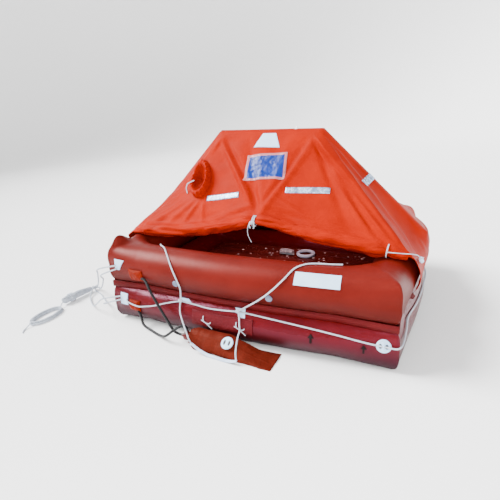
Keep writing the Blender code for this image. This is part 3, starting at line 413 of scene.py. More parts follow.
def make_tubes():
    """Both buoyancy tubes: a slightly flattened circle, squarish at the corners, carried round the ring."""
    turns = full_turn(60)
    circle = np.stack([TUBE_RADIUS * np.cos(turns), TUBE_HALF_HEIGHT * np.sin(turns)], -1)
    table = (
        # name, level, place of the crease, seed, height of the ear, squarish corners
        ("lower", LOWER_LEVEL, 0.25, 11, 0.0, ALL_CORNERS),
        ("upper", UPPER_LEVEL, 0.75, 23, EAR_RISE, FRONT_CORNERS),
    )
    for name, level, crease, seed, ear, squared in table:
        profile = circle + (0, level)
        cornered = circle * squaring(turns)[:, None] + (0, level)
        points = ring_surface(profile, 0.0105, tube_ripple(crease, seed, ear), cornered, squared)
        if name == "lower":
            points[..., 2] = np.maximum(points[..., 2], 0.0)
        faces = grid_faces(len(points), len(turns), True, True)
        make_piece(name + "_tube_skin", points, faces, "hull_" + name, name + "_tube")


def make_band():
    """Joining band over the outer seam between the tubes, with small waves along its edges."""
    half = 0.022
    section = np.array([(0.0, -half), (0.006, 0.001 - half), (0.0068, 0.0), (0.006, half - 0.001),
                        (0.0, half), (-0.004, 0.0)])
    inner = TUBE_RADIUS * math.cos(math.asin(1 - half / TUBE_HALF_HEIGHT)) + 0.001
    profile = section + (inner, SEAM_LEVEL)

    def ripple(number, along, to_seam, around):
        """Small waves that differ from side to side."""
        return noise(31, along / 0.03, around * 4, number * 3.1) * 0.0012

    points = ring_surface(profile, 0.010, ripple, profile + (BAND_CORNER_OUT, 0), ALL_CORNERS)
    make_piece("seam_band", points, grid_faces(len(points), len(profile), True, True), "band", "joining_band")


# Canopy

ARC_ROWS = 8
SPAN_ROWS = 46
SHOULDER_ROWS = 14
WRAP_ROWS = 10
PANEL_SAG = 0.012
LANDING_LOWEST = math.radians(4)
LANDING_PAST = math.radians(2.5)
SHORTEST_ARC = math.radians(6)


def roll_size(x):
    """Half thickness of the rolled flap: between its table's values in proportion, less at its two ties."""
    draw = sum(depth * np.exp(-((np.asarray(x) - tie) / width) ** 2) for tie, depth, width in ROLL_TIES)
    return np.interp(x, *ROLL_SIZES) * (1 - draw)


def roll_level(x):
    """Height of the rolled flap's middle: flat on the tubes, lifted towards its peak."""
    span = np.where(x < ROLL_PEAK, ROLL_LEFT_SPAN, ROLL_RIGHT_SPAN)
    flat = TUBE_TOP + GAP + np.minimum(np.interp(x, *ROLL_SIZES), ROLL_RADIUS)
    return flat + ROLL_RISE * np.maximum(0.0, 1 - np.abs(x - ROLL_PEAK) / span) ** 1.3


def leg_station(share):
    """Arch centre and outward direction on the left leg: 0 at the foot, 1 at the ridge's end."""
    foot = np.array([-FOOT_OUT, 0, FOOT_LEVEL])
    top = np.array([-RIDGE_HALF, 0, RIDGE_LEVEL])
    leg = unit(top - foot)
    leg_normal = np.array([-leg[2], 0, leg[0]])
    bend = unit(leg_normal + UP)
    bend = bend / bend[2]
    share = np.asarray(share, float)[:, None]
    return foot + (top - foot) * share, leg_normal + (bend - leg_normal) * share


def wrap_angle(centre, radius, across, upward, target):
    """Angle on a circle at which a straight line to the target leaves it."""
    away = target - centre
    flat_across = (away * across).sum(-1)
    flat_up = (away * upward).sum(-1)
    flat = np.hypot(flat_across, flat_up)
    return np.arctan2(flat_up, flat_across) - np.arccos(np.minimum(1.0, radius / flat))


def shoulder(centre, outward, lift, hem_turn, start, rows):
    """Cloth round the upper tube: an arc from where a straight line from the arch lands to the hem."""
    middle = centre + UP * UPPER_LEVEL
    stretch = np.linalg.norm(outward, axis=-1)
    reach = (TUBE_RADIUS + CANOPY_LIFT + lift) * stretch
    landing = wrap_angle(middle, reach, outward / stretch[:, None], UP, start)
    landing = np.maximum(landing, LANDING_LOWEST) + LANDING_PAST
    hem_turn = np.minimum(hem_turn, landing - SHORTEST_ARC)
    share = np.linspace(0, 1, rows + 1)[None]
    turn = landing[:, None] + (hem_turn - landing)[:, None] * share
    raised = CANOPY_LIFT + lift[:, None] * (1 - share)
    out = (TUBE_RADIUS + raised) * np.cos(turn)
    up = (TUBE_HALF_HEIGHT + raised) * np.sin(turn)
    return middle[:, None] + outward[:, None] * out[..., None] + UP * up[..., None]


def canopy_columns(arch_centre, arch_out, facing, hem=None, lift=None, edge=None, ease=None, sag=0.0,
                   hem_turn=HEM_ANGLE):
    """Columns of the cloth: round the arch, across to the tube or to the free edge, and down to the hem.

    The place where the cloth leaves the arch's circle and the place where it lands depend on each
    other, so they are found in four rounds. The straight stretch between them hangs by a parabola, and
    above the rolled flap a groove of uneven depth runs along it.
    """
    radius = ARCH_RADIUS + ARCH_LIFT
    side = np.array([0.0, facing, 0.0])
    across = unit(arch_out)
    leaving = np.zeros(len(arch_centre))
    for _ in range(4):
        start = arch_centre + radius * (arch_out * np.cos(leaving)[:, None] + side * np.sin(leaving)[:, None])
        arc = edge[:, None] if edge is not None else shoulder(*hem, lift, hem_turn, start, SHOULDER_ROWS)
        leaving = wrap_angle(arch_centre, radius, across, side, arc[:, 0]) + LANDING_PAST
        if ease is not None:
            leaving = leaving * ease
    turn = leaving[:, None] * np.linspace(0, 1, ARC_ROWS + 1)[None]
    top = radius * (arch_out[:, None] * np.cos(turn)[..., None] + side * np.sin(turn)[..., None])
    top = arch_centre[:, None] + top
    share = (np.arange(1, SPAN_ROWS) / SPAN_ROWS)[None, :, None]
    span = top[:, -1:] + (arc[:, :1] - top[:, -1:]) * share
    span = span - UP * (4 * share * (1 - share) * np.reshape(sag, (-1, 1, 1)))
    if edge is not None:
        x = edge[:, 0]
        depth = 0.008 + 0.007 * noise(47, x / 0.11, 0, 0)
        depth = (depth * smoothstep(-0.95, -0.70, x) * smoothstep(0.95, 0.80, x))[:, None, None]
        span = span - UP * depth * np.exp(-((share - 0.93) / 0.035) ** 2)
    return np.concatenate([top, span, arc], axis=1)


def hem_stations(shares, facing):
    """Hem centres and outward directions of a corner panel, between the rows of places in proportion."""
    if facing < 0:
        return side_place("left", HEM_FRONT * shares ** 0.7)
    rows = [side_place("left", y) for y in (0.0, 0.09, 0.20, 0.42)]
    rows.append(corner_place(-1, 1))
    rows += [side_place("back", x) for x in (-0.74, -PANEL_HEM_HALF)]
    at = (0.0, 0.1, 0.25, 0.5, 0.75, 0.9, 1.0)
    return [np.stack([np.interp(shares, at, [row[kind][axis] for row in rows]) for axis in range(3)], -1)
            for kind in range(2)]


def ridge_station(share):
    """Arch centre and outward direction on the ridge, from -1 at its left end to 1 at its right end."""
    zero = np.zeros_like(share)
    return np.stack([RIDGE_HALF * share, zero, zero + RIDGE_LEVEL], -1), np.tile(UP, (len(share), 1))


def corner_panels():
    """Point grids of the four corners, by the way they face and whether they are mirrored."""
    grids = {}
    table = (
        # facing, mirrored, columns, lift at the last column, hem there, extra sag, places on the leg
        (-1, False, 40, LEFT_CORNER_LIFT, LEFT_CORNER_HEM, 0.0, LEG_LEFT),
        (-1, True, 54, RIGHT_CORNER_LIFT, HEM_ANGLE, 0.010, LEG_RIGHT),
        (1, False, 80, BACK_LIFT, HEM_ANGLE, 0.015, LEG_RIGHT),
        (1, True, 80, BACK_LIFT, HEM_ANGLE, 0.020, LEG_BACK),
    )
    for facing, mirrored, count, end_lift, end_hem, extra, leg in table:
        shares = np.linspace(0, 1, count)
        arch_centre, arch_out = leg_station(np.interp(shares, *leg))
        rise = end_lift * (shares - 0.4) / 0.6 if facing < 0 else end_lift * smoothstep(0.3, 0.5, shares)
        lift = np.where(shares > 0.4, np.maximum(rise, 0), FOOT_LIFT * np.maximum(0, 1 - shares / 0.3))
        hem_turn = HEM_ANGLE + (end_hem - HEM_ANGLE) * smoothstep(0.35, 1.0, shares)
        sag = PANEL_SAG * shares + extra * 4 * shares * (1 - shares)
        panel = canopy_columns(arch_centre, arch_out, facing, hem_stations(shares, facing), lift,
                               ease=smoothstep(0.0, 0.12, shares), sag=sag, hem_turn=hem_turn)
        grids[facing, mirrored] = panel * (-1, 1, 1) if mirrored else panel
    return grids


def edge_level(x):
    """Height of the free edge: the top of the rolled flap and a cloth's thickness over it."""
    return roll_level(x) + roll_size(x) + CLOTH


def free_edge(share, left, right):
    """Points of the free edge over the rolled flap, at shares from -1 at its left corner to 1."""
    steps = np.linspace(-1, 1, len(EDGE_PLACES) + 2)
    edge = [(x, ROLL_FRONT, float(edge_level(x))) for x in EDGE_PLACES]
    curve = smooth_through(np.column_stack([steps, np.vstack([left, edge, right])]))
    free = np.stack([np.interp(share, curve[:, 0], curve[:, axis]) for axis in (1, 2, 3)], -1)
    free[:, 2] += (edge_level(free[:, 0]) - free[:, 2]) * off_corner(share)
    return free


def off_corner(share):
    """0 at the free edge's two corners, and 1 between them."""
    return smoothstep(1.0, 0.86, np.abs(share))


def wrapped_hem(free, share):
    """Rows of the front hem that curl over the rolled flap: an arc from its top to its front and below."""
    size = roll_size(free[:, 0]) + CLOTH
    turn = ROLL_WRAP * off_corner(share)[:, None] * (np.arange(1, WRAP_ROWS + 1) / WRAP_ROWS)
    rows = np.broadcast_to(free[:, None], (len(share), WRAP_ROWS, 3)).copy()
    rows[..., 1] -= size[:, None] * np.sin(turn)
    rows[..., 2] -= size[:, None] * (1 - np.cos(turn))
    return rows


def front_panel(left, right):
    """Point grid of the front: from the left leg and the ridge to the free edge, and over the rolled flap."""
    landing = ARC_ROWS + SPAN_ROWS
    share = np.linspace(-1, 1, 220)[1:-1]
    arch_centre, arch_out = ridge_station(np.clip((share - LEFT_RIDGE) / (1 - LEFT_RIDGE) * 2 - 1, -1, 1))
    on_leg = share < LEFT_RIDGE
    foot = LEG_LEFT[1][1]
    leg = foot + (1 - foot) * (share[on_leg] + 1) / (LEFT_RIDGE + 1)
    arch_centre[on_leg], arch_out[on_leg] = leg_station(leg)
    free = free_edge(share, left[landing], right[landing])
    inside = canopy_columns(arch_centre, arch_out, -1, edge=free, sag=PANEL_SAG)
    inside = np.concatenate([inside, wrapped_hem(free, share)], axis=1)
    ends = [np.vstack([end[:landing], np.tile(end[landing], (WRAP_ROWS + 1, 1))]) for end in (left, right)]
    return np.concatenate([ends[0][None], inside, ends[1][None]])


def back_panel(left, right):
    """Point grid of the back: from the ridge to the hem round the tube."""
    share = np.linspace(-1, 1, 110)[1:-1]
    hem = side_place("back", PANEL_HEM_HALF * share)
    inside = canopy_columns(*ridge_station(share), 1, hem, np.full_like(share, BACK_LIFT), sag=PANEL_SAG)
    return np.concatenate([left[None], inside, right[None]])


def canopy_panels():
    """Point grids of the four corners, the front and the back."""
    corners = corner_panels()
    ends = {place: grid[-1] for place, grid in corners.items()}
    front = front_panel(ends[-1, False], ends[-1, True])
    back = back_panel(ends[1, False], ends[1, True])
    return [drawn_in(grid) for grid in (*corners.values(), front, back)]


FOLD_STRENGTH = 1.35
FOLD_REACH = 0.09
PORT_CUT = 0.97
PORT_DEPTH = 0.08
CLOTH_WALL = 0.0024
FOLDS = (
    # start, end, height of the ridge, half width at the start and at the end
    ((-0.333, -0.078, 1.13), (0.050, -0.430, 0.745), 0.011, 0.020, 0.016),
    ((-0.300, -0.078, 1.13), (0.060, -0.390, 0.790), -0.008, 0.018, 0.016),
    ((0.328, -0.070, 1.15), (0.100, -0.430, 0.745), 0.011, 0.020, 0.016),
    ((0.290, -0.078, 1.13), (0.090, -0.390, 0.790), -0.008, 0.018, 0.016),
    ((-0.120, -0.090, 1.12), (0.060, -0.420, 0.750), -0.010, 0.050, 0.030),
    ((0.170, -0.090, 1.12), (0.085, -0.420, 0.750), 0.004, 0.030, 0.022),
    ((0.343, -0.075, 1.15), (0.748, -0.428, 0.655), 0.010, 0.015, 0.026),
    ((0.350, -0.070, 1.13), (0.838, -0.417, 0.660), 0.009, 0.014, 0.024),
    ((0.360, -0.060, 1.12), (0.918, -0.421, 0.645), 0.010, 0.014, 0.024),
    ((0.380, -0.040, 1.11), (1.000, -0.250, 0.560), 0.007, 0.016, 0.034),
    ((0.345, -0.090, 1.10), (0.650, -0.430, 0.660), -0.008, 0.016, 0.030),
    ((0.350, -0.090, 1.08), (0.795, -0.420, 0.655), -0.008, 0.014, 0.020),
    ((0.355, -0.080, 1.07), (0.880, -0.418, 0.650), -0.008, 0.014, 0.020),
    ((-0.440, -0.345, 0.765), (-0.620, -0.435, 0.625), 0.007, 0.014, 0.026),
    ((-0.400, -0.355, 0.755), (-0.480, -0.440, 0.640), 0.008, 0.012, 0.022),
    ((-0.360, -0.360, 0.750), (-0.330, -0.445, 0.660), 0.007, 0.012, 0.022),
    ((-0.500, -0.330, 0.770), (-0.780, -0.425, 0.600), 0.007, 0.014, 0.028),
    ((-0.545, -0.260, 0.850), (-0.880, -0.400, 0.590), 0.008, 0.016, 0.030),
    ((-0.345, -0.078, 1.12), (-0.900, -0.350, 0.620), 0.007, 0.014, 0.030),
    ((-0.350, -0.060, 1.12), (-0.420, -0.150, 1.02), 0.006, 0.012, 0.014),
    ((0.150, -0.350, 0.830), (0.420, -0.425, 0.710), 0.006, 0.014, 0.020),
    ((0.120, -0.400, 0.780), (0.330, -0.438, 0.725), -0.007, 0.012, 0.018),
    ((0.020, -0.400, 0.780), (-0.230, -0.440, 0.690), 0.007, 0.012, 0.020),
    ((-0.345, 0.078, 1.12), (0.060, 0.600, 0.620), 0.006, 0.020, 0.040),
    ((0.345, 0.078, 1.12), (-0.060, 0.600, 0.620), 0.006, 0.020, 0.040),
    ((-0.350, 0.078, 1.12), (-0.840, 0.560, 0.600), 0.008, 0.016, 0.030),
    ((0.350, 0.078, 1.12), (0.840, 0.560, 0.600), 0.008, 0.016, 0.030),
)


def fold_heights(points, normals):
    """Sum of the tension folds: each is a ridge whose height falls with the squared distance from its line.

    The distance is measured in the cloth's own plane, so its part along the normal is taken off.
    """
    total = np.zeros(len(points))
    for start, end, height, near_width, far_width in FOLDS:
        start = np.array(start)
        line = np.array(end) - start
        share = np.clip((points - start) @ line / (line @ line), 0, 1)
        away = points - start - share[:, None] * line
        off = (away * normals).sum(1)
        distance = np.sqrt(np.maximum((away ** 2).sum(1) - off ** 2, 0))
        distance += 10 * np.maximum(np.abs(off) - FOLD_REACH, 0)
        width = near_width + (far_width - near_width) * share
        rise = np.sqrt(np.clip(4 * (share + 0.04) * (1.04 - share), 0, 1))
        total += FOLD_STRENGTH * height * rise * np.exp(-(distance / width) ** 2)
    return total


def joined_cloth(name, grids):
    """One mesh of several point grids, merged where they meet, with its outside up."""
    faces = []
    first = 0
    for grid in grids:
        columns, rows = grid.shape[:2]
        faces.append(grid_faces(columns, rows, first=first))
        first += columns * rows
    points = np.vstack([grid.reshape(-1, 3) for grid in grids])
    made = make_object(name, points, np.vstack(faces), facing=(0, 0, 0))
    shape = bmesh.new()
    shape.from_mesh(made.data)
    bmesh.ops.remove_doubles(shape, verts=shape.verts, dist=0.0004)
    bmesh.ops.dissolve_degenerate(shape, edges=shape.edges, dist=0.0001)
    bmesh.ops.recalc_face_normals(shape, faces=shape.faces)
    highest = max(shape.faces, key=lambda face: face.calc_center_median().z)
    if highest.normal.z < 0:
        bmesh.ops.reverse_faces(shape, faces=shape.faces)
    shape.to_mesh(made.data)
    shape.free()
    return made


def waves(places, sizes, seed, height):
    """Smooth random waves of given sizes along x, y and z."""
    return lumps(places / sizes, seed) * height


def cloth_moves(places, normals):
    """How far each point moves outwards: tension folds, soft waves, puckers low down and waves at the hem."""
    y, z = places[:, 1], places[:, 2]
    off_arch = smoothstep(0.045, 0.085, np.abs(y))
    soft = waves(places, (0.16, 0.10, 0.10), 41, 0.0045) + waves(places, (0.07, 0.05, 0.05), 42, 0.0016)
    puckers = waves(places, (0.03, 0.03, 0.12), 43, 0.0026) * smoothstep(0.62, 0.50, z)
    at_hem = smoothstep(-0.41, -0.45, y) * smoothstep(0.54, 0.57, z)
    hem = waves(places, (0.13, 0.020, 0.020), 44, 0.0090) * at_hem
    moved = (fold_heights(places, normals) + soft) * (0.15 + 0.85 * off_arch) + puckers + hem
    lowest = np.where(z < 0.56, -0.0015, -0.030)
    return np.maximum(moved, lowest)


def port_place(places):
    """Place across and up the window port, in its half sizes, and the distance off its plane."""
    away = places - PORT_PLACE
    across = away @ PORT_ACROSS / PORT_HALF_WIDTH
    upward = away @ PORT_UP / PORT_HALF_HEIGHT
    return across, upward, np.abs(away @ PORT_OUT)


def to_port_rim(places):
    """Points near the window port's rim pulled onto it, along lines through its middle."""
    across, upward, off = port_place(places)
    radius = np.hypot(across, upward)
    near = (np.abs(radius - 1) < 0.07) & (off < PORT_DEPTH)
    pull = np.where(near, 1 / np.maximum(radius, 0.1) - 1, 0.0)[:, None]
    return places + pull * (across[:, None] * PORT_ACROSS * PORT_HALF_WIDTH
                            + upward[:, None] * PORT_UP * PORT_HALF_HEIGHT)


def make_canopy():
    """Canopy cloth: one sheet of six joined grids, moved along its normals, with the window port's hole."""
    made = joined_cloth("canopy_cloth", canopy_panels())
    mesh = made.data
    places, normals = np.empty((2, len(mesh.vertices) * 3))
    mesh.vertices.foreach_get("co", places)
    mesh.vertex_normals.foreach_get("vector", normals)
    places = places.reshape(-1, 3)
    normals = normals.reshape(-1, 3)
    places = to_port_rim(places + normals * cloth_moves(places, normals)[:, None])
    mesh.vertices.foreach_set("co", places.ravel())
    mesh.update()
    shape = bmesh.new()
    shape.from_mesh(mesh)
    whole = BVHTree.FromBMesh(shape)
    middles = np.array([face.calc_center_median() for face in shape.faces])
    across, upward, off = port_place(middles)
    cut = (np.hypot(across, upward) < PORT_CUT) & (off < PORT_DEPTH)
    inside = [face for face, gone in zip(shape.faces, cut) if gone]
    bmesh.ops.delete(shape, geom=inside, context="FACES")
    shape.to_mesh(mesh)
    shape.free()
    mesh.shade_smooth()
    finish_piece(made, "cloth", "canopy")
    made.data.materials.append(FINISHES["cloth_inner"])
    thicken(made, CLOTH_WALL, -1.0).modifiers["wall"].material_offset = 1
    return whole


PATCH_STEP = 0.004
PATCH_WALL = 0.0012


def dropped(tree, points, direction, lift):
    """Points moved along a direction onto the cloth, then back off it by a small lift."""
    direction = Vector(direction)
    hits = []
    for point in np.asarray(points).reshape(-1, 3):
        hit = tree.ray_cast(Vector(point) - direction * 0.3, direction)[0]
        hits.append(hit - direction * lift if hit else Vector(point))
    return np.array([tuple(hit) for hit in hits])


def cloth_patch(name, tree, middle, across, upward, half, taper, slot, wrinkle, seed):
    """Thin patch on the canopy: a grid dropped onto the cloth, with small waves and a wall of 1.2 mm."""
    across = unit(np.array(across, float))
    upward = np.array(upward, float)
    upward = unit(upward - across * (upward @ across))
    outward = np.cross(across, upward)
    columns = max(12, int(half[0] / PATCH_STEP))
    rows = max(6, int(half[1] / PATCH_STEP))
    u, v = square_grid(columns, rows)
    width = half[0] * (1 - taper * (v + 1) / 2)
    flat = np.array(middle) + (across * (width * u)[..., None]) + (upward * (half[1] * v)[..., None])
    points = dropped(tree, flat, -outward, PATCH_WALL).reshape(columns, rows, 3)
    rise = noise(seed, u * half[0] / 0.035, v * half[1] / 0.028, seed) * wrinkle
    rise += noise(seed + 1, u * half[0] / 0.012, v * half[1] / 0.05, seed) * wrinkle * 0.5
    points = points + outward * (np.abs(rise) * (1 - np.maximum(np.abs(u), np.abs(v)) ** 6))[..., None]
    uv = np.stack([(u + 1) / 2, (v + 1) / 2], -1)
    made = make_object(name + "_skin", points, grid_faces(columns, rows), uv, facing=outward)
    thicken(made, PATCH_WALL)
    finish_piece(made, slot, name)


def make_cloth_patches(tree):
    """Blank sign, blank patch above it and the reflective tapes on the canopy."""
    front_up = (0, 0.66, 0.75)
    back_up = (0, -0.66, 0.75)
    tape = (0.0, "reflector", 0.0004)
    table = (
        # name, middle, across, up, half width and height; taper, slot and height of the waves
        ("sign_panel", (0.042, -0.205, 0.983), (1, 0.05, 0.066), front_up, (0.140, 0.096),
         (0.0, "blue_sign", 0.0050)),
        ("blank_patch", (0.018, -0.078, 1.128), (1, 0, 0), front_up, (0.092, 0.052),
         (0.5, "white_patch", 0.0012)),
        ("reflective_tape_left", (-0.218, -0.337, 0.804), (0.99, 0, 0.14), front_up, (0.124, 0.020), tape),
        ("reflective_tape_middle", (0.352, -0.293, 0.862), (0.99, 0.12, 0), front_up, (0.138, 0.021), tape),
        ("reflective_tape_right", (0.655, -0.050, 0.868), (0, 1, 0), (-0.718, 0, 0.696), (0.095, 0.024),
         tape),
        ("reflective_tape_back_left", (-0.30, 0.34, 0.86), (-1, 0, 0), back_up, (0.110, 0.020), tape),
        ("reflective_tape_back_right", (0.30, 0.34, 0.86), (-1, 0, 0), back_up, (0.110, 0.020), tape),
    )
    for number, (name, middle, across, upward, half, finish) in enumerate(table):
        cloth_patch(name, tree, middle, across, upward, half, *finish, 60 + number)


def make_sleeve(tree):
    """Gathered sleeve round the window port, and its drawstring's end.

    Its rim is an ellipse carried along a profile of scale and height, and radial gathers grow
    towards the drawn rim. The stretch outside the rim lies on the cloth.
    """
    around = 220
    profile = smooth_through([(1.42, 0.000), (1.38, 0.012), (1.31, 0.028), (1.20, 0.038), (1.07, 0.036),
                              (0.97, 0.024), (0.86, 0.004), (0.68, -0.014), (0.44, -0.026), (0.20, -0.034),
                              (0.05, -0.036)], 3)
    turn = full_turn(around)[:, None]
    rows = len(profile)
    place = np.linspace(0, 1, rows)
    gathers = np.sin(turn * 19 + 1.8 * np.sin(turn * 2)) + 0.7 * np.sin(turn * 11 + 2.1 * np.sin(turn * 3))
    rise = (smoothstep(0.0, 0.4, place) * (1 - 0.75 * smoothstep(0.8, 1.0, place)))[None]
    scale = profile[None, :, 0] * (1 + 0.042 * gathers * rise)
    fuller = 1 + 0.30 * np.cos(turn + 0.5) * smoothstep(0.0, 0.3, place)[None]
    height = profile[None, :, 1] * fuller + 0.0030 * gathers * rise
    reach = (PORT_ACROSS * (PORT_HALF_WIDTH * np.cos(turn))[..., None]
             + PORT_UP * (PORT_HALF_HEIGHT * np.sin(turn))[..., None])
    on_cloth = np.maximum(scale, 1.12)
    base = dropped(tree, PORT_PLACE + reach * on_cloth[..., None], -PORT_OUT, 0.0006).reshape(around, rows, 3)
    points = base + reach * (scale - on_cloth)[..., None] + PORT_OUT * height[..., None]
    # Painted shade inside the sleeve: past half way in, the cloth is darker on one side, by the marks.
    shaded_side = 0.5 - 0.5 * np.cos(turn - 0.8)
    marks = 0.75 * smoothstep(0.50, 0.75, place)[None] * shaded_side
    made = make_object("window_sleeve_cloth", points, grid_faces(around, rows, wrap_rows=True), marks=marks,
                       facing=PORT_OUT - PORT_UP)
    thicken(made, 0.0016, 0.0)
    finish_piece(made, "cloth", "window_sleeve")
    start = points[around * 17 // 32, rows * 4 // 10] + PORT_OUT * 0.006
    route = smooth_through([start + (0.030, -0.004, 0.012), start, start + (-0.024, -0.010, -0.014),
                            start + (-0.034, -0.014, -0.044), start + (-0.026, -0.020, -0.078)])
    lay_cord("port_drawstring_end", route, 0.0042, "knot", lay="hanging")


# Ropes and hoses

LAY_PITCH = 7.0


def frames_along(points):
    """Unit tangent, side and other side at each point, carried along without twisting."""
    tangents = unit(np.gradient(points, axis=0))
    side = np.cross(tangents[0], (0.3, 0.2, 0.93) if abs(tangents[0][2]) < 0.9 else (1.0, 0.0, 0.0))
    sides = []
    for tangent in tangents:
        side = side - tangent * (side @ tangent)
        side = side / math.sqrt(side @ side)
        sides.append(side)
    sides = np.array(sides)
    return tangents, sides, np.cross(tangents, sides)


def rope(name, route, radius, nodes=(), slot="rope", strands=3, sides=12):
    """Laid rope: rings along a line, whose radius swells over each strand and turns along the rope.

    The radius is the rope's own times 0.90 plus 0.12 times the size of the cosine of half the
    strands times the angle less the lay's turn. With no strands it is a plain tube.
    """
    points = even(np.asarray(route, float), radius * (0.62 if strands else 1.0))
    _, side, other = frames_along(points)
    along = (np.arange(len(points)) * line_length(points) / (len(points) - 1))[:, None]
    turn = full_turn(sides)[None]
    swell = np.ones((len(points), sides))
    if strands:
        lay = along / (radius * LAY_PITCH) * 2 * math.pi
        swell = 0.90 + 0.12 * np.abs(np.cos(strands / 2 * (turn - lay)))
    swell[[0, -1]] *= 0.7
    rings = rings_round(points, side, other, radius * swell, turn)
    uv = np.stack(np.broadcast_arrays(along, turn / (2 * math.pi)), -1)
    return make_piece(name, rings, tube_faces(len(points), sides), slot, *nodes, uv=uv)


def thin_cord(name, route, radius):
    """Plain thin cord without strands, as in ties."""
    return rope(name, route, radius, strands=0, sides=8)


def lay_cord(name, route, radius, far_end, nodes=(), stiffness="limp", lay="loose", **form):
    """Rope or hose along its route."""
    made = rope(name, route, radius, nodes, **form)


def pocket_reach(x):
    """How far the gas pocket's front lies off the tubes' centre line: in proportion from its left end."""
    return POCKET_FRONT + POCKET_FLARE * (x - POCKET_LEFT) / (POCKET_RIGHT - POCKET_LEFT)


def on_tube(level, side, table):
    """Route on a tube from rows of place along the side, height angle and lift."""
    rows = [(row[0], row[1], row[2] if len(row) > 2 else ROPE_LIFT) for row in table]
    along, degrees, lift = np.array(rows, float).T
    return tube_place(side, along, level, degrees, lift)


def on_corner(right, back, degrees, lift):
    """Point on the lower tube's mitre at one corner."""
    centre, outward = corner_place(right, back)
    turn = math.radians(degrees)
    reach = squaring(turn)
    up = LOWER_LEVEL + (TUBE_HALF_HEIGHT * reach + lift) * math.sin(turn)
    return drawn_in(centre + outward * (TUBE_RADIUS * reach + lift) * math.cos(turn) + UP * up)


def knot(name, place, size, radius, nodes=(), seed=0):
    """Overhand knot: a trefoil line, x = sin t + 2 sin 2t, y = -1.4 sin 3t, z = cos t - 2 cos 2t, shrunk."""
    t = np.linspace(0, 2 * math.pi, 90) + seed
    line = np.stack([np.sin(t) + 2 * np.sin(2 * t), -1.4 * np.sin(3 * t), np.cos(t) - 2 * np.cos(2 * t)], -1)
    line = line / 3.0 * (size - radius)
    spin = np.array(Matrix.Rotation(0.6 + seed, 3, "X"))
    rope(name, line @ spin.T + np.asarray(place), radius, nodes, strands=0, sides=8)


def make_lifelines():
    """Lifeline in bights round the lower tube, and its two knots in front."""
    low = LOWER_LEVEL
    side_table = ((-0.60, 24), (-0.48, 34), (-0.25, 26), (0.0, 22), (0.25, 26), (0.48, 34), (0.60, 24))
    front_disc, back_disc, far_disc = (
        tube_place(side, along, low, DISC_ANGLE, ROPE_LIFT)
        for side, along in (("front", DISC_PLACE), ("back", DISC_PLACE), ("back", -DISC_PLACE)))
    corners = [on_corner(right, back, DISC_ANGLE + 2, lift) for right, back, lift in (
        (1, -1, ROPE_LIFT), (1, 1, ROPE_LIFT - 0.002), (-1, 1, ROPE_LIFT))]
    routes = {
        "front_left": on_tube(low, "front", (
            (-0.757, 18), (-0.730, 14, OVER_COVER), (-0.68, 10, OVER_COVER), (-0.63, 9, OVER_COVER),
            (-0.59, 11, 0.012), (-0.52, 18), (-0.42, 33), (LEFT_KNOT, KNOT_ANGLE))),
        "front_middle": on_tube(low, "front", (
            (LEFT_KNOT, KNOT_ANGLE), (-0.22, 43), (-0.117, 40), (0.0, 42), (MIDDLE_KNOT, KNOT_ANGLE))),
        "front_right": on_tube(low, "front", (
            (MIDDLE_KNOT, KNOT_ANGLE), (0.18, 43), (0.278, 40), (0.462, 34), (0.65, 26), (0.80, 18),
            (DISC_PLACE, DISC_ANGLE))),
        "right": np.vstack([
            front_disc, corners[0], on_tube(low, "right", side_table), corners[1], back_disc]),
        "left": np.vstack([on_tube(low, "left", side_table), corners[2], far_disc]),
        "back": on_tube(low, "back", (
            (-DISC_PLACE, DISC_ANGLE), (-0.65, 20), (-0.40, 26), (0.0, 20), (0.40, 26), (0.65, 20),
            (DISC_PLACE, DISC_ANGLE))),
    }
    for name, route in routes.items():
        node = "lifeline_" + name
        lay_cord(node + "_rope", smooth_through(route), ROPE_RADIUS, "object", (node,), lay="hanging")
    for name, along, seed in (("knot_left", LEFT_KNOT, 0.0), ("knot_middle", MIDDLE_KNOT, 0.9)):
        place = tube_place("front", along, low, KNOT_ANGLE, KNOT_LIFT)
        knot(name + "_rope", place, 0.0165, 0.0052, (name,), seed)


def make_boarding_ropes():
    """Ropes over the upper tube to the knots, and the ropes from the knots down to the step."""
    over = {
        "left": ((-0.575, 116), (-0.53, 98), (-0.476, 84), (-0.40, 55), (-0.345, 28), (-0.305, 0),
                 (-0.295, -28, OVER_CREASE)),
        "right": ((0.66, 104), (0.60, 98), (0.527, 95), (0.467, 86), (0.415, 66), (0.37, 36), (0.304, 6),
                  (0.22, -24, OVER_CREASE)),
    }
    down = {
        "left": ((LEFT_KNOT, KNOT_ANGLE, KNOT_LIFT), (-0.316, 30, 0.012), (-0.304, 14, 0.016)),
        "right": ((MIDDLE_KNOT, KNOT_ANGLE, KNOT_LIFT), (0.098, 31, OVER_FLAP), (0.104, 16, OVER_FLAP),
                  (0.106, 2, OVER_FLAP)),
    }
    hanging = {
        "left": ((-0.262, -0.868, 0.132), (-0.220, -0.906, 0.107), (-0.186, -0.936, 0.082),
                 (-0.166, -0.944, 0.060)),
        "right": ((0.120, -0.880, 0.128), (0.132, -0.925, 0.106), (0.141, -0.960, 0.072),
                  (0.146, -0.970, 0.032)),
    }
    routes = {}
    for name, along in (("left", LEFT_KNOT), ("right", MIDDLE_KNOT)):
        end = tube_place("front", along, LOWER_LEVEL, KNOT_ANGLE, KNOT_LIFT)
        routes["boarding_rope_" + name] = np.vstack([on_tube(UPPER_LEVEL, "front", over[name]), end])
    for name in ("left", "right"):
        routes["step_rope_" + name] = np.vstack([on_tube(LOWER_LEVEL, "front", down[name]), hanging[name]])
    for node, route in routes.items():
        lay_cord(node + "_line", smooth_through(route), ROPE_RADIUS, "object", (node,), lay="hanging")


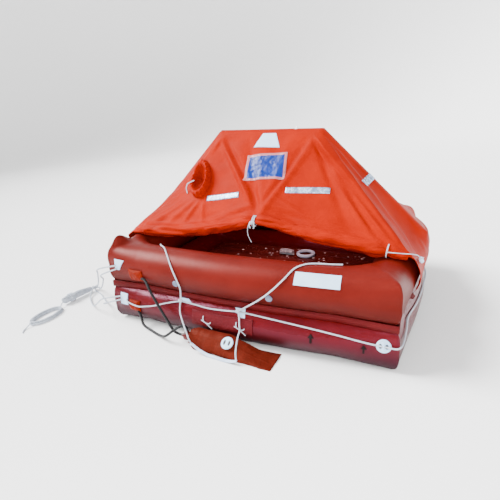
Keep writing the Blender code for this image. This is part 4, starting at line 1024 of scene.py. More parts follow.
def make_step_strap():
    """Step strap that hangs round the gas pocket: a flat section, turned a little between its ends."""
    share = np.linspace(0, 1, 60)
    left, right = -0.172, 0.150
    place = left + (right - left) * share
    y = side_place("front", place)[0][:, 1] - pocket_reach(place) - 0.020
    hang = smooth_through([(-0.18, 0.060), (-0.159, 0.054), (-0.132, 0.038), (-0.104, 0.025),
                           (-0.061, 0.0125), (-0.019, 0.0085), (0.030, 0.0075), (0.071, 0.0085),
                           (0.112, 0.014), (0.152, 0.026)], 6)
    bend = np.interp(place, hang[:, 0], hang[:, 1])
    half_width, half_height = 0.009, 0.003
    corner = np.array([(-half_width, -half_height / 2), (0.001 - half_width, -half_height),
                       (half_width - 0.001, -half_height), (half_width, -half_height / 2)])
    section = np.vstack([corner, -corner])
    twist = (0.25 + 0.6 * np.sin(math.pi * share))[:, None]
    wide = section[:, 0] * np.cos(twist) - section[:, 1] * np.sin(twist)
    high = section[:, 0] * np.sin(twist) + section[:, 1] * np.cos(twist)
    points = np.stack([np.broadcast_to(place[:, None], wide.shape), y[:, None] + wide,
                       np.maximum(bend[:, None] + high, 0.0008)], -1)
    # The marks paint shade on the strap's underside.
    marks = np.broadcast_to((section[:, 1] < 0.0014).astype(float)[None], wide.shape)
    make_piece("step_band", points, tube_faces(60, len(section)), "strap", "step_strap", marks=marks)


def stadium(way, half_width, length):
    """Place along and across a loop with straight sides and half-round ends, a way from its near end."""
    straight = length - 2 * half_width
    quarter = math.pi * half_width / 2
    way = way % (2 * straight + 4 * quarter)
    ends = (quarter, quarter + straight, 3 * quarter + straight, 3 * quarter + 2 * straight)
    parts = [way < end for end in ends]
    turn = way / half_width
    far = (way - ends[1]) / half_width
    last = (way - ends[3]) / half_width
    along = np.select(parts, [half_width - half_width * np.cos(turn), half_width + way - ends[0],
                              half_width + straight + half_width * np.sin(far),
                              half_width + straight - (way - ends[2])],
                      half_width - half_width * np.sin(last))
    across = np.select(parts, [half_width * np.sin(turn), half_width, half_width * np.cos(far), -half_width],
                       -half_width * np.cos(last))
    return along, across


PAINTER_RADIUS = 0.004
PAINTER_LOOPS = 8
PAINTER_WRAPS = 4
HANK_HALF_WIDTH = 0.022
HANK_LENGTH = 0.262
HANK_LEVEL = 0.0355
WRAP_RADIUS = 0.0305
COIL_TURNS = 8.4


def painter_route():
    """Bow line: loops laid round an axis into a hank, wraps round it, then an oval coil and the tail.

    Each loop's plane is turned a little further round the hank's axis than the last one's.
    """
    loop = 2 * (HANK_LENGTH - 2 * HANK_HALF_WIDTH) + 2 * math.pi * HANK_HALF_WIDTH
    way = np.arange(0, loop * PAINTER_LOOPS + loop * 0.30, 0.004)
    along, across = stadium(way, HANK_HALF_WIDTH, HANK_LENGTH)
    plane = math.pi * way / loop / PAINTER_LOOPS
    along = along + 0.010 * np.sin(2.4 * np.floor(way / loop + 0.5)) * smoothstep(0, 0.05, along)
    taper = 0.70 + 0.30 * smoothstep(0.0, 0.13, along)
    level = 0.0055 + 0.0300 * taper
    start = np.array([-1.4165, -0.484, 0.0])
    heading = unit(np.array([-0.108, -1.0, 0.0]))
    sideways = np.array([-heading[1], heading[0], 0.0])

    def off_axis(far, out, up):
        """Points a way along the hank's axis, sideways from it and up from the ground."""
        return start + heading * far[:, None] + sideways * out[:, None] + UP * up[:, None]

    reach = across * taper
    hank = off_axis(along, reach * np.cos(plane), level + reach * np.sin(plane))
    last = hank[-1] - start - heading * along[-1]
    angle = math.atan2(last[2] - HANK_LEVEL, last @ sideways)
    turns = np.linspace(0, PAINTER_WRAPS, 40 * PAINTER_WRAPS)
    out = HANK_HALF_WIDTH + (WRAP_RADIUS - HANK_HALF_WIDTH) * smoothstep(0, 0.3, turns)
    around = angle + 2 * math.pi * turns
    wraps = off_axis(along[-1] + 0.012 + 0.0088 * turns, out * np.cos(around),
                     HANK_LEVEL + out * np.sin(around))
    coil_turn = np.linspace(0, COIL_TURNS, 8 * 48)
    layers = (0, 3.2, 3.6, 6.2, 6.6, COIL_TURNS)
    offset = np.interp(coil_turn, layers, (-0.0125, 0.0130, 0.0090, -0.0120, -0.0080, 0.0070))
    height = np.interp(coil_turn, layers, (0.0045, 0.0045, 0.0128, 0.0128, 0.0210, 0.0210))
    turn = math.radians(100) + 2 * math.pi * coil_turn
    wander = [noise(70 + axis, coil_turn * 3, axis, 0) * 0.0022 for axis in range(2)]
    coil = np.stack([-1.418 + (0.058 + offset) * np.cos(turn) + wander[0],
                     -0.930 + (0.122 + offset) * np.sin(turn) + wander[1], height], -1)
    tail = ((-1.414, -1.062, 0.0205), (-1.417, -1.084, 0.014), (-1.416, -1.105, 0.0055),
            (-1.408, -1.130, 0.0045), (-1.385, -1.160, 0.0045))
    entry = (-1.4155, -0.470, 0.024)
    link = ((-1.437, -0.775, 0.026), (-1.428, -0.795, 0.014))
    points = even(np.vstack([entry, hank, wraps, link, coil, tail]), 0.004)
    kernel = np.ones(3) / 3
    inner = np.stack([np.convolve(points[:, axis], kernel, "same") for axis in range(3)], -1)
    inner[[0, -1]] = points[[0, -1]]
    inner[:, 2] = np.maximum(inner[:, 2], PAINTER_RADIUS)
    return inner


def make_painter():
    """Bow line on the floor: four short legs, their knot and the line with its hank, coil and tail."""
    place = np.array([-1.415, -0.458, 0.022])
    radius = 0.020
    legs = (
        # place on the corner's patch, points on the way, direction in which it meets the knot
        ((-0.800, UPPER_LEVEL, 8),
         ((-0.97, -0.790, 0.375), (-1.06, -0.720, 0.300), (-1.20, -0.600, 0.170), (-1.32, -0.510, 0.070)),
         (0.78, -0.12, 0.60)),
        ((-0.800, UPPER_LEVEL, -1),
         ((-0.96, -0.785, 0.330), (-1.05, -0.690, 0.245), (-1.19, -0.585, 0.120), (-1.31, -0.500, 0.045)),
         (0.93, 0.25, 0.05)),
        ((-0.815, LOWER_LEVEL, 23),
         ((-0.98, -0.790, 0.150), (-1.07, -0.760, 0.090), (-1.18, -0.710, 0.022), (-1.33, -0.590, 0.012)),
         (0.55, -0.75, 0.35)),
        ((-0.815, LOWER_LEVEL, 14),
         ((-0.98, -0.785, 0.112), (-1.05, -0.700, 0.060), (-1.15, -0.610, 0.012), (-1.30, -0.512, 0.008)),
         (0.80, -0.50, -0.30)),
    )
    for number, ((along, level, degrees), points, towards) in enumerate(legs, 1):
        direction = unit(np.array(towards))
        lift = ON_LOWER_PATCH if level == LOWER_LEVEL else ON_PATCH
        route = np.vstack([tube_place("front", along, level, degrees, lift), points,
                           place + direction * (radius + 0.025), place + direction * radius * 0.7])
        node = "bridle_leg_%d" % number
        lay_cord(node + "_rope", smooth_through(route), BRIDLE_RADIUS, "knot", (node,))
    knot("bridle_knot_rope", place, 0.0220, 0.0062, ("bridle_knot",), 0.4)
    nodes = ("painter_bundle", "painter_coil", "painter_tail")
    lay_cord("painter_line", painter_route(), PAINTER_RADIUS, "bare", nodes, lay="coiled", sides=10)


# Roll, pocket and fittings

def make_roll():
    """Rolled door flap: rings along its line, drawn in at its ties, with creases that wind round it."""
    places = np.array((ROLL_LEFT,) + EDGE_PLACES + (ROLL_RIGHT,))
    line = np.stack([places, np.full(len(places), ROLL_FRONT), roll_level(places)], -1)
    line = even(smooth_through(line), 0.005)
    _, side, other = frames_along(line)
    sides = 56
    along = line[:, :1]
    turn = full_turn(sides)[None]
    near_tie = np.exp(-np.abs(along - MIDDLE_TIE) / 0.10) + np.exp(-np.abs(along - RIGHT_TIE) / 0.08)
    wind = noise(81, along / 0.13, turn * 1.6 + along * 6, 0)
    creases = noise(82, along / 0.045, turn * 2.4 + along * 9, 5)
    pleats = np.cos(9 * turn + 3 * np.sin(along * 12)) * near_tie
    size = roll_size(along)
    lap = 0.0045 * smoothstep(0.5, 0.9, np.cos(turn - 2.3 - 0.5 * np.sin(along * 5)))
    radius = size * (1 + 0.18 * wind + 0.15 * creases + 0.05 * pleats) + lap * size / 0.04
    points = rings_round(line, side, other, radius, turn)
    on_side_tube = smoothstep(0.70, 0.76, np.abs(points[..., 0]))
    lowest = TUBE_TOP + 0.0004 - 0.05 * (1 - on_side_tube)
    points[..., 2] = np.maximum(points[..., 2], lowest)
    # The marks paint shade into the creases: the cloth is darker where a crease dips in.
    made = make_piece("entrance_roll_cloth", drawn_in(points), tube_faces(len(line), sides), "cloth",
                      "entrance_roll", marks=smoothstep(0.1, 0.7, -creases) * 0.6)


def tube_patch(name, level, along, degrees, width, height, slot, seed, thickness=0.002, puff=0.0, wrinkle=0.0,
               outline=None, lip=0.0):
    """Patch on the front of a tube: a grid wrapped on the skin, puffed up between its edges.

    Its lift is the thickness plus puff times one less the fourth power of the place across, times
    the same along it. lip is the height of a welt along its upper edge. A name that ends in skin
    stands for the node before it.
    """
    columns = max(16, int(width / 0.003))
    rows = max(12, int(height / 0.003))
    u, v = square_grid(columns, rows)
    across = u * width / 2
    upward = v * height / 2
    if outline is not None:
        left, right = (np.interp(v, (-1, 1), ends) for ends in outline)
        across = (left + (right - left) * (u + 1) / 2) * width / 2
    rise = puff * (1 - u ** 4) * (1 - v ** 4) + lip * np.exp(-((v - 0.86) / 0.10) ** 2)
    rise += noise(90 + seed, across / 0.02, upward / 0.02, seed) * wrinkle * (1 - u ** 6) * (1 - v ** 6)
    angle = degrees + np.degrees(upward / TUBE_RADIUS)
    sheets = [tube_place("front", along + across, level, angle, lift).reshape(-1, 3)
              for lift in (0.0022 + thickness + rise, -0.001)]
    count = columns * rows
    upper = grid_faces(columns, rows)
    rim = np.concatenate([np.arange(columns) * rows, (columns - 1) * rows + np.arange(1, rows),
                          np.arange(columns - 2, -1, -1) * rows + rows - 1, np.arange(rows - 2, 0, -1)])
    after = np.roll(rim, -1)
    wall = np.stack([rim, after, after + count, rim + count], -1)
    uv = np.stack([(u + 1) / 2, (v + 1) / 2], -1).reshape(-1, 2)
    nodes = [name[:-5]] if name.endswith("_skin") else []
    made = make_piece(name, np.vstack(sheets), np.vstack([upper, upper[:, ::-1] + count, wall]), slot, *nodes,
                      uv=np.vstack([uv, uv]))
    made.data.set_sharp_from_angle(angle=math.radians(50))


def turned(name, profile, base, axis, slot, nodes=(), sides=40):
    """Turned piece: rings of a profile of height and radius round an axis."""
    axis = unit(np.asarray(axis, float))
    side = unit(np.cross(axis, (0.31, 0.95, 0.1)))
    height, radius = np.asarray(profile, float).T
    line = np.asarray(base) + axis * height[:, None]
    other = np.cross(axis, side)
    points = rings_round(line, side[None], other[None], radius[:, None], full_turn(sides)[None])
    made = make_piece(name, points, tube_faces(len(line), sides), slot, *nodes)
    made.data.set_sharp_from_angle(angle=math.radians(35))


def turned_on_tube(name, side, along, degrees, profile, slot, node):
    """Turned piece that stands on the upper tube, along the line straight out of it."""
    base = tube_place(side, along, UPPER_LEVEL, degrees, -0.001)
    axis = tube_place(side, along, UPPER_LEVEL, degrees, 1.0) - base
    turned(name, profile, base, axis, slot, (node,))


def disc_grid(rings, sides, squash=1.0):
    """Share of a round patch's radius, places across and along it, and its faces."""
    share, turn = np.meshgrid(np.linspace(0.02, 1, rings), full_turn(sides), indexing="ij")
    across = DISC_RADIUS * share * np.cos(turn)
    along = DISC_RADIUS * squash * share * np.sin(turn)
    return share, across, along, tube_faces(rings, sides, 1)


def two_slots(across, along, apart, width, height):
    """Two oval slots side by side: 1 in their middles, and 0 past their rims."""
    return sum(np.clip(1.3 - np.hypot((across - x) / width, along / height), 0, 1) for x in (-apart, apart))


def tube_disc(node, side, along):
    """Round patch with a raised rim, two slots and a bar between them, wrapped on the lower tube."""
    share, flat_x, flat_y, faces = disc_grid(26, 56)
    height = 0.0045 + 0.0022 * np.exp(-((share - 0.86) / 0.10) ** 2) - 0.0040 * smoothstep(0.93, 1.0, share)
    bar = 0.0052 * np.exp(-(flat_x / 0.007) ** 2) * (np.abs(flat_y) < DISC_RADIUS * 0.62)
    hole = two_slots(flat_x, flat_y, 0.016, 0.0075, 0.0125)
    height = height + bar - 0.004 * np.minimum(1, hole * 2)
    angle = DISC_ANGLE + np.degrees(flat_y / TUBE_RADIUS)
    points = tube_place(side, along + flat_x, LOWER_LEVEL, angle, height + 0.001)
    # The marks paint shade in the two slots.
    make_piece(node + "_round", points, faces, "white_patch", node, marks=np.minimum(1, hole * 2.2),
               facing=side_place(side, along)[1])


PATCHES = (
    # piece, tube, place along the front, height angle, width, height, finish, what else differs
    ("blank_plate_skin", UPPER_LEVEL, 0.549, 43, 0.245, 0.078, "white_patch", {"wrinkle": 0.0006}),
    ("bridle_patch_upper_skin", UPPER_LEVEL, -0.785, 10, 0.100, 0.070, "white_patch",
     {"thickness": 0.003, "wrinkle": 0.001, "outline": ((-0.9, -1.0), (0.15, 1.0))}),
    ("bridle_patch_lower_skin", LOWER_LEVEL, -0.795, 17, 0.086, 0.078, "white_patch",
     {"thickness": 0.003, "wrinkle": 0.001, "outline": ((-1.0, -0.9), (1.0, 0.9))}),
    ("hose_cover_upper_skin", UPPER_LEVEL, -0.640, -12, 0.110, 0.078, "cover",
     {"puff": 0.016, "wrinkle": 0.0050}),
    ("hose_cover_lower_skin", LOWER_LEVEL, -0.690, 5, 0.090, 0.074, "cover",
     {"puff": 0.016, "wrinkle": 0.0050}),
    ("stowage_flap_skin", LOWER_LEVEL, -0.025, 11, 0.405, 0.098, "flap",
     {"puff": 0.0030, "wrinkle": 0.0016, "lip": 0.006}),
    ("knot_patch_left", LOWER_LEVEL, -0.292, 56, 0.090, 0.050, "white_patch",
     {"thickness": 0.001, "wrinkle": 0.0008, "outline": ((-1.0, -1.0), (1.0, -0.5))}),
    ("knot_patch_middle", LOWER_LEVEL, 0.085, 44, 0.085, 0.068, "white_patch",
     {"thickness": 0.001, "wrinkle": 0.0008, "outline": ((0.5, -1.0), (1.0, 0.7))}),
)
PLUG_PROFILE = ((0, 0.021), (0.004, 0.021), (0.005, 0.0195), (0.009, 0.0185), (0.0105, 0.016),
                (0.0085, 0.0145), (0.0085, 0.009), (0.0105, 0.007), (0.0105, 0.001))
VALVE_PROFILE = ((0, 0.022), (0.004, 0.022), (0.006, 0.018), (0.013, 0.017), (0.014, 0.0145), (0.022, 0.0138),
                 (0.024, 0.011), (0.024, 0.001))
LAMP_PROFILE = ((-0.004, 0.015), (0.002, 0.015), (0.003, 0.011), (0.010, 0.010), (0.015, 0.007),
                (0.017, 0.003), (0.0172, 0.001))
CYLINDER_PROFILE = ((-0.020, 0.038), (-0.008, 0.036), (-0.002, 0.026), (0.006, 0.018), (0.010, 0.018),
                    (0.012, 0.0255), (0.020, 0.0268), (0.046, 0.0268), (0.052, 0.0250), (0.055, 0.0200),
                    (0.058, 0.012), (0.058, 0.001))


def make_fittings():
    """Plate, patches, hose covers, flap, plugs, valve, discs and marks on the tubes, and the lamp."""
    for seed, (*row, others) in enumerate(PATCHES, 1):
        tube_patch(*row, seed, **others)
    for node, along in (("grey_plug_left", -0.323), ("grey_plug_right", 0.288)):
        turned_on_tube(node + "_turned", "front", along, -15, PLUG_PROFILE, "grey_plug", node)
    turned_on_tube("side_valve_turned", "right", -0.452, -30, VALVE_PROFILE, "valve", "side_valve")
    tube_disc("disc_patch_front_right", "front", DISC_PLACE)
    tube_disc("disc_patch_back_right", "back", DISC_PLACE)
    tube_disc("disc_patch_back_left", "back", -DISC_PLACE)
    top = RIDGE_LEVEL + ARCH_RADIUS + ARCH_LIFT
    turned("canopy_light_turned", LAMP_PROFILE, (0.19, 0, top), UP, "lamp", ("canopy_light",))
    for number, (along, low_angle, size) in enumerate(((0.518, 8, 0.058), (0.797, 0, 0.052)), 1):
        make_arrow("level_mark_%d" % number, along, low_angle, size)
    for number, along in enumerate((-0.136, 0.086), 1):
        make_tie("flap_tie_%d" % number, along)


def make_arrow(name, along, degrees, size):
    """Small printed arrow on the lower tube that points up: a shaft and a head, 3 mm over the skin."""
    shape = np.array([(-0.10, -0.5), (0.10, -0.5), (0.10, 0.05), (0.30, 0.05), (0.0, 0.5), (-0.30, 0.05),
                      (-0.10, 0.05)])
    outline = shape * size
    angle = degrees + np.degrees(outline[:, 1] / TUBE_RADIUS)
    sheets = [tube_place("front", along + outline[:, 0], LOWER_LEVEL, angle, lift)
              for lift in (0.0030, -0.0010)]
    count = len(outline)
    faces = [tuple(range(count)), tuple(range(2 * count - 1, count - 1, -1))]
    faces += [(k, (k + 1) % count, (k + 1) % count + count, k + count) for k in range(count)]
    made = make_piece(name, np.vstack(sheets), faces, "print")
    made.data.shade_flat()


def make_tie(name, along):
    """Short white tie through the flap: a stem that stands up, and two tails below it."""
    rows = (
        # piece, points as place along and height angle, radius
        ("stem", ((-0.004, 20), (-0.006, 13), (-0.002, 7)), 0.0036),
        ("tail", ((-0.018, 9), (0.010, 4), (0.030, -2), (0.052, -11)), 0.0032),
        ("end", ((0.014, 3), (0.036, 3), (0.048, 7)), 0.0032),
    )
    for piece, places, radius in rows:
        shift, degrees = np.array(places, float).T
        points = tube_place("front", along + shift, LOWER_LEVEL, degrees, 0.0125)
        thin_cord(name + "_" + piece, smooth_through(points), radius)


def cylinder_place(along=0.0, back=0.0, up=0.0):
    """Point off the middle of the gas cylinder's left end."""
    y = side_place("front", 0.0)[0][1] - CYLINDER_OUT
    return np.array([POCKET_LEFT + along, y + back, CYLINDER_LEVEL + up])


def make_pocket():
    """Gas pocket in front of the tubes: a loft of rounded sections, flattened towards its right end.

    Its mouth at the left is gathered round the cylinder.
    """
    count, around = 130, 96
    share = np.linspace(0, 1, count)
    x = POCKET_LEFT - 0.004 + (POCKET_RIGHT + 0.006 - POCKET_LEFT) * share
    back = side_place("front", x)[0][:, 1]
    fronts = POCKET_FRONT + POCKET_FLARE * share
    corners = ((0.112, 0.003), (0.128, 0.030), (0.140, 0.070), (0.152, 0.101), (0.186, 0.104), (0.214, 0.088),
               (0.985, 0.056), (0.998, 0.028), (1, 0.010), (0.988, 0.002), (0.180, 0.001))
    section = np.array([[(out - 1 + front if out > 0.9 else out, up) for out, up in corners]
                        for front in fronts])
    closed = np.concatenate([section[:, -1:], section, section[:, :2]], axis=1)
    fine = np.stack([smooth_through(ring, 12)[12:-12] for ring in closed])
    fine = np.stack([even(ring, line_length(ring) / around)[:around] for ring in fine])
    middle = fine.mean(axis=1, keepdims=True)
    angle = np.arctan2(fine[..., 1] - middle[..., 1], fine[..., 0] - middle[..., 0])
    mouth = 0.046 + 0.003 * np.sin(angle * 13 + 1.5 * np.sin(angle * 2))
    circle = np.stack([CYLINDER_OUT + mouth * np.cos(angle), CYLINDER_LEVEL + mouth * np.sin(angle)], -1)
    weight = ((1 - smoothstep(0.0, 0.075, share)) ** 1.5)[:, None, None]
    fine = fine * (1 - weight) + circle * weight
    flatness = np.interp(share, (0.0, 0.45, 0.62, 0.80, 0.92, 1.0), (1.0, 1.0, 0.66, 0.30, 0.12, 0.06))
    fine[..., 1] *= flatness[:, None]
    ripple = noise(101, x[:, None] / 0.045, angle * 1.5, 0) * 0.0035
    ripple += noise(102, x[:, None] / 0.016, angle * 1.1, 3) * 0.0016
    ripple += 0.0024 * np.exp(-((angle - 0.95) / 0.05) ** 2)
    out = fine[..., 0] + ripple * np.cos(angle)
    up = np.maximum(fine[..., 1] + ripple * np.sin(angle), 0.0008)
    points = np.stack(np.broadcast_arrays(x[:, None], back[:, None] - out, up), -1)
    made = make_piece("gas_pocket_cloth", points, tube_faces(count, around), "pocket", "gas_pocket")


def make_hoses():
    """Head of the gas cylinder, its two hose ferrules and the hoses up to the tubes."""
    turned("gas_cylinder_head", CYLINDER_PROFILE, cylinder_place(), (-1, 0, 0), "cylinder", ("gas_cylinder",))
    block = cylinder_place(-0.056, 0, 0)
    turned("hose_ferrule_upper", ((0, 0.0115), (0.018, 0.0115), (0.020, 0.0098), (0.020, 0.001)),
           block + (0.002, 0, 0), (-1, 0, 0), "valve", sides=6)
    top = cylinder_place(-0.036, 0, 0.026)
    turned("hose_ferrule_lower", ((0, 0.0115), (0.014, 0.0115), (0.016, 0.0098), (0.016, 0.001)),
           top - (0, 0, 0.002), UP, "valve", sides=6)
    axis_y = block[1]
    on_skin = HOSE_RADIUS + 0.002
    upper = np.vstack([
        on_tube(UPPER_LEVEL, "front", ((-0.592, -16, on_skin), (-0.560, -20, on_skin + 0.002))),
        [(-0.515, -0.828, 0.290), (-0.455, -0.842, 0.205), (-0.395, -0.854, 0.125),
         (-0.340, axis_y - 0.002, 0.070)],
        block - (0.035, 0, 0), block - (0.004, 0, 0)])
    lower = np.vstack([
        on_tube(LOWER_LEVEL, "front", ((-0.660, -8, on_skin), (-0.655, -24, on_skin))),
        [(-0.622, -0.822, 0.032), (-0.555, -0.838, 0.0135), (-0.460, -0.872, 0.0130), (-0.380, -0.912, 0.045),
         (-0.315, -0.912, 0.095), (-0.268, axis_y - 0.010, 0.122)],
        top + (-0.004, 0, 0.032), top + (0, 0, 0.006)])
    for name, route in (("upper", upper), ("lower", lower)):
        lay_cord("hose_%s_tube" % name, smooth_through(route), HOSE_RADIUS, "object", ("hose_" + name,),
                 "stiff", slot="hose", strands=0, sides=20)


def make_pocket_disc():
    """Round patch with two slots on the pocket's front slope."""
    squash = 0.62
    ring, flat_x, flat_y, faces = disc_grid(22, 48, squash)
    hole = two_slots(flat_x, flat_y, 0.015, 0.0065, 0.009)
    lift = 0.0015 * (1 - ring ** 4) - 0.003 * np.minimum(1, hole * 2) - 0.004 * smoothstep(0.94, 1.0, ring)
    down = np.array([0.0, -0.80, -0.60])
    outward = np.array([0.0, -0.60, 0.80])
    middle = cylinder_place(0.265, -0.0395, 0.0385)
    flat = flat_x[..., None] * (1, 0, 0) - (flat_y / squash)[..., None] * down
    # The marks paint shade in the two slots.
    make_piece("pocket_disc_round", middle + flat + lift[..., None] * outward, faces, "white_patch",
               "pocket_disc", marks=np.minimum(1, hole * 2.2), facing=UP)


FLOOR_EDGE = 0.140
RIB_FOOT = 0.156
RIB_PITCH = 0.105


def make_floor():
    """Inflated floor: the tubes' inner line drawn in to the middle, with ribs across and a flat underside."""
    edge = -(TUBE_RADIUS + 0.004)
    ring = ring_surface(np.array([(edge, 0.0), (edge, 0.001), (edge - 0.001, 0.0005)]), 0.02,
                        lambda number, along, to_seam, around: along * 0)[:, 0]
    shares = np.concatenate([np.linspace(1, 0.02, 70), [0.004]])
    top = ring[None] * shares[:, None, None]
    ribs = np.abs(np.sin(top[..., 1] * math.pi / RIB_PITCH)) ** 0.5
    inside = smoothstep(1.0, 0.93, shares)[:, None]
    top[..., 2] = FLOOR_EDGE + (RIB_FOOT - FLOOR_EDGE + (FLOOR_TOP - RIB_FOOT) * ribs) * inside
    bottom = ring[None] * np.array([1.0, 0.5, 0.004])[:, None, None]
    bottom[..., 2] = 0.001
    points = np.concatenate([top[::-1], bottom])
    made = make_piece("floor_quilted", points, tube_faces(*points.shape[:2]), "floor", "floor")


def make_throwing_ring():
    """Throwing ring, a torus on the floor, and its line in a small hank beside it."""
    turn = full_turn(60)[:, None]
    side = full_turn(20)[None]
    x, y = 0.115, 0.350
    radius, wall = 0.062, 0.014
    reach = radius + wall * np.cos(side)
    points = np.stack(np.broadcast_arrays(x + reach * np.cos(turn), y + reach * np.sin(turn),
                                          FLOOR_TOP + 0.015 + wall * np.sin(side)), -1)
    make_piece("throwing_ring_foam", points, grid_faces(60, 20, True, True), "white_patch", "throwing_ring")
    t = np.linspace(0, 2 * math.pi * 9, 500)
    swing = 0.018 + 0.004 * np.sin(t * 0.37)
    around = t / 9.0 * 4 + 0.5
    route = np.stack([-0.040 + 0.055 * np.cos(t) + 0.006 * np.sin(t * 0.21), 0.330 + swing * np.cos(around),
                      FLOOR_TOP + 0.024 + swing * np.sin(around) * 0.8 + 0.004 * np.sin(t)], -1)
    rope("throwing_line_hank", route, 0.0030, ("throwing_line",), strands=0, sides=8)


def make_inner_strap():
    """Strap that droops in bights along the back tube's inside."""
    centre, outward = side_place("back", np.linspace(-0.30, 0.45, 60))
    droop = 0.012 * np.sin(np.linspace(0, math.pi * 4, 60)) ** 2
    section = np.array([(0.000, -0.012), (0.003, -0.012), (0.003, 0.012), (0.0, 0.012)])
    out = TUBE_RADIUS + 0.006 + section[:, :1]
    height = 0.395 - droop[:, None] + section[:, 1]
    points = centre[:, None] - outward[:, None] * out + UP * height[..., None]
    make_piece("grab_line_inside", points, tube_faces(60, 4), "band")


def make_drops():
    """Water drops on the inflated floor: flattened domes of random size, as one mesh."""
    rng = np.random.default_rng(7)
    count, rows, sides = 70, 6, 12
    centres = np.stack([rng.uniform(-0.45, 0.70, count), rng.uniform(0.05, 0.47, count),
                        np.full(count, FLOOR_TOP - 0.0030)], -1)
    size = rng.uniform(0.004, 0.012, count)
    rise = np.linspace(0.02, 1, rows)[:, None] * math.pi / 2
    turn = full_turn(sides)[None]
    dome = np.stack(np.broadcast_arrays(np.sin(rise) * np.cos(turn), np.sin(rise) * np.sin(turn),
                                        0.45 * np.cos(rise)), -1).reshape(-1, 3)
    points = centres[:, None] + dome[None] * size[:, None, None]
    faces = grid_faces(rows, sides, wrap_columns=True)
    faces = (faces[None] + (np.arange(count) * rows * sides)[:, None, None]).reshape(-1, 4)
    make_piece("water_drops", points, faces, "water")


def paint_arch():
    """Give the solids' own arch tube its finish."""
    arch = bpy.data.objects["arch_tube"]
    arch.data.materials.clear()
    arch.data.materials.append(FINISHES["arch"])


def tie_ring(name, x, shift, slant, out, radius):
    """Turn of cord round the roll, slanted a little along it. Gives the ring's centre and its size."""
    centre = np.array([x, ROLL_FRONT, float(roll_level(np.array(x)))])
    size = float(roll_size(np.array(x))) + CLOTH + out
    turn = np.linspace(0, 2 * math.pi, 50)
    ring = np.stack([shift + slant * np.sin(turn), size * np.cos(turn), size * np.sin(turn)], -1)
    thin_cord(name, centre + ring, radius)
    return centre, size


def make_ties(tree):
    """Tie at the middle of the roll with its hanging cord, and the toggle and cord at the right corner."""
    for number, shift in enumerate((-0.007, 0.004), 1):
        centre, size = tie_ring("roll_tie_%d" % number, MIDDLE_TIE, shift, 0.004, 0.0072, 0.0042)
    front = centre - (0.0, size + 0.0068, 0.0)
    knot("roll_tie_knot", front, 0.0190, 0.0046, seed=0.4)
    for number, side in enumerate((-1, 1), 1):
        bends = ((0, 0, 0), (0.016 * side, -0.010, -0.012), (0.010 * side, -0.010, -0.034))
        thin_cord("roll_tie_tail_%d" % number, smooth_through(front + bends), 0.0042)
    start = front + (-0.016, -0.004, 0.004)
    route = smooth_through([start, start + (-0.012, -0.006, -0.035), start + (-0.014, -0.006, -0.075),
                            start + (-0.004, -0.006, -0.105), start + (0.008, -0.006, -0.128)])
    lay_cord("roll_tie_cord", route, 0.0022, "bare", lay="hanging")
    place, outward, _, _ = tree.find_nearest(Vector((1.03, -0.345, 0.50)))
    lying = np.array(outward.to_track_quat("Z", "Y").to_matrix() @ Vector((1, 0, 0)))
    place = np.array(place)
    outward = np.array(outward)
    rows = np.linspace(-1, 1, 17)
    waist = 0.0130 - 0.0045 * np.exp(-(rows / 0.25) ** 2)
    body = np.sqrt(np.clip(1 - np.abs(rows) ** 6, 0.02, 1))
    profile = np.stack([rows * 0.027, waist * body], -1)
    turned("corner_toggle_turned", profile, place + outward * 0.0165, lying, "white_patch",
           ("corner_toggle",))
    centre, size = tie_ring("roll_tie_right", RIGHT_TIE, 0.0, 0.006, 0.0065, 0.0034)
    start = centre + (0.004, -size, 0.006)
    route = smooth_through([start, start + (0.055, -0.006, 0.002), (1.005, -0.430, 0.560),
                            (1.030, -0.395, 0.530), place + outward * 0.0310 + (0, 0, 0.006)])
    lay_cord("corner_cord", route, 0.0026, "object", lay="hanging")


# Materials

SHADE_ROUGHER = 0.45
CREASE_DEPTH = 0.02
THREAD_DEPTH = 0.0006
SIGN_BORDER = 0.017


def add_node(tree, kind, inputs=(), **settings):
    """Node with its settings. Its inputs are values, colours of three numbers, or other nodes' outputs."""
    made = tree.nodes.new("ShaderNode" + kind)
    for name, value in settings.items():
        setattr(made, name, value)
    for key, value in dict(inputs).items():
        if isinstance(value, bpy.types.NodeSocket):
            tree.links.new(value, made.inputs[key])
        else:
            made.inputs[key].default_value = (*value, 1) if isinstance(value, tuple) else value
    return made


def maths(tree, operation, *values):
    """Result of a Math node."""
    return add_node(tree, "Math", dict(enumerate(values)), operation=operation).outputs[0]


def mapped(tree, value, *limits, **settings):
    """Value carried from one range, low and high, to another, which is 0 to 1 where it isn't given."""
    return add_node(tree, "MapRange", {0: value, **dict(enumerate(limits, 1))}, **settings).outputs[0]


def mixed(tree, factor, first, second, blend="MIX"):
    """Mix of two colours."""
    inputs = {"Factor": factor, "A": first, "B": second}
    return add_node(tree, "Mix", inputs, data_type="RGBA", blend_type=blend).outputs["Result"]


def clouds(tree, place, scale, **values):
    """Noise texture's outputs."""
    return add_node(tree, "TexNoise", {"Vector": place, "Scale": scale, **values}).outputs


def new_group(name, scale, *fields):
    """Node group of fields from a place and a scale, and those two and its outputs as sockets."""
    group = bpy.data.node_groups.new(name, "ShaderNodeTree")
    group.interface.new_socket("Vector", in_out="INPUT", socket_type="NodeSocketVector")
    group.interface.new_socket("Scale", in_out="INPUT", socket_type="NodeSocketFloat").default_value = scale
    for label in fields:
        group.interface.new_socket(label, in_out="OUTPUT", socket_type="NodeSocketFloat")
    start = group.nodes.new("NodeGroupInput").outputs
    return group, start["Vector"], start["Scale"], group.nodes.new("NodeGroupOutput").inputs


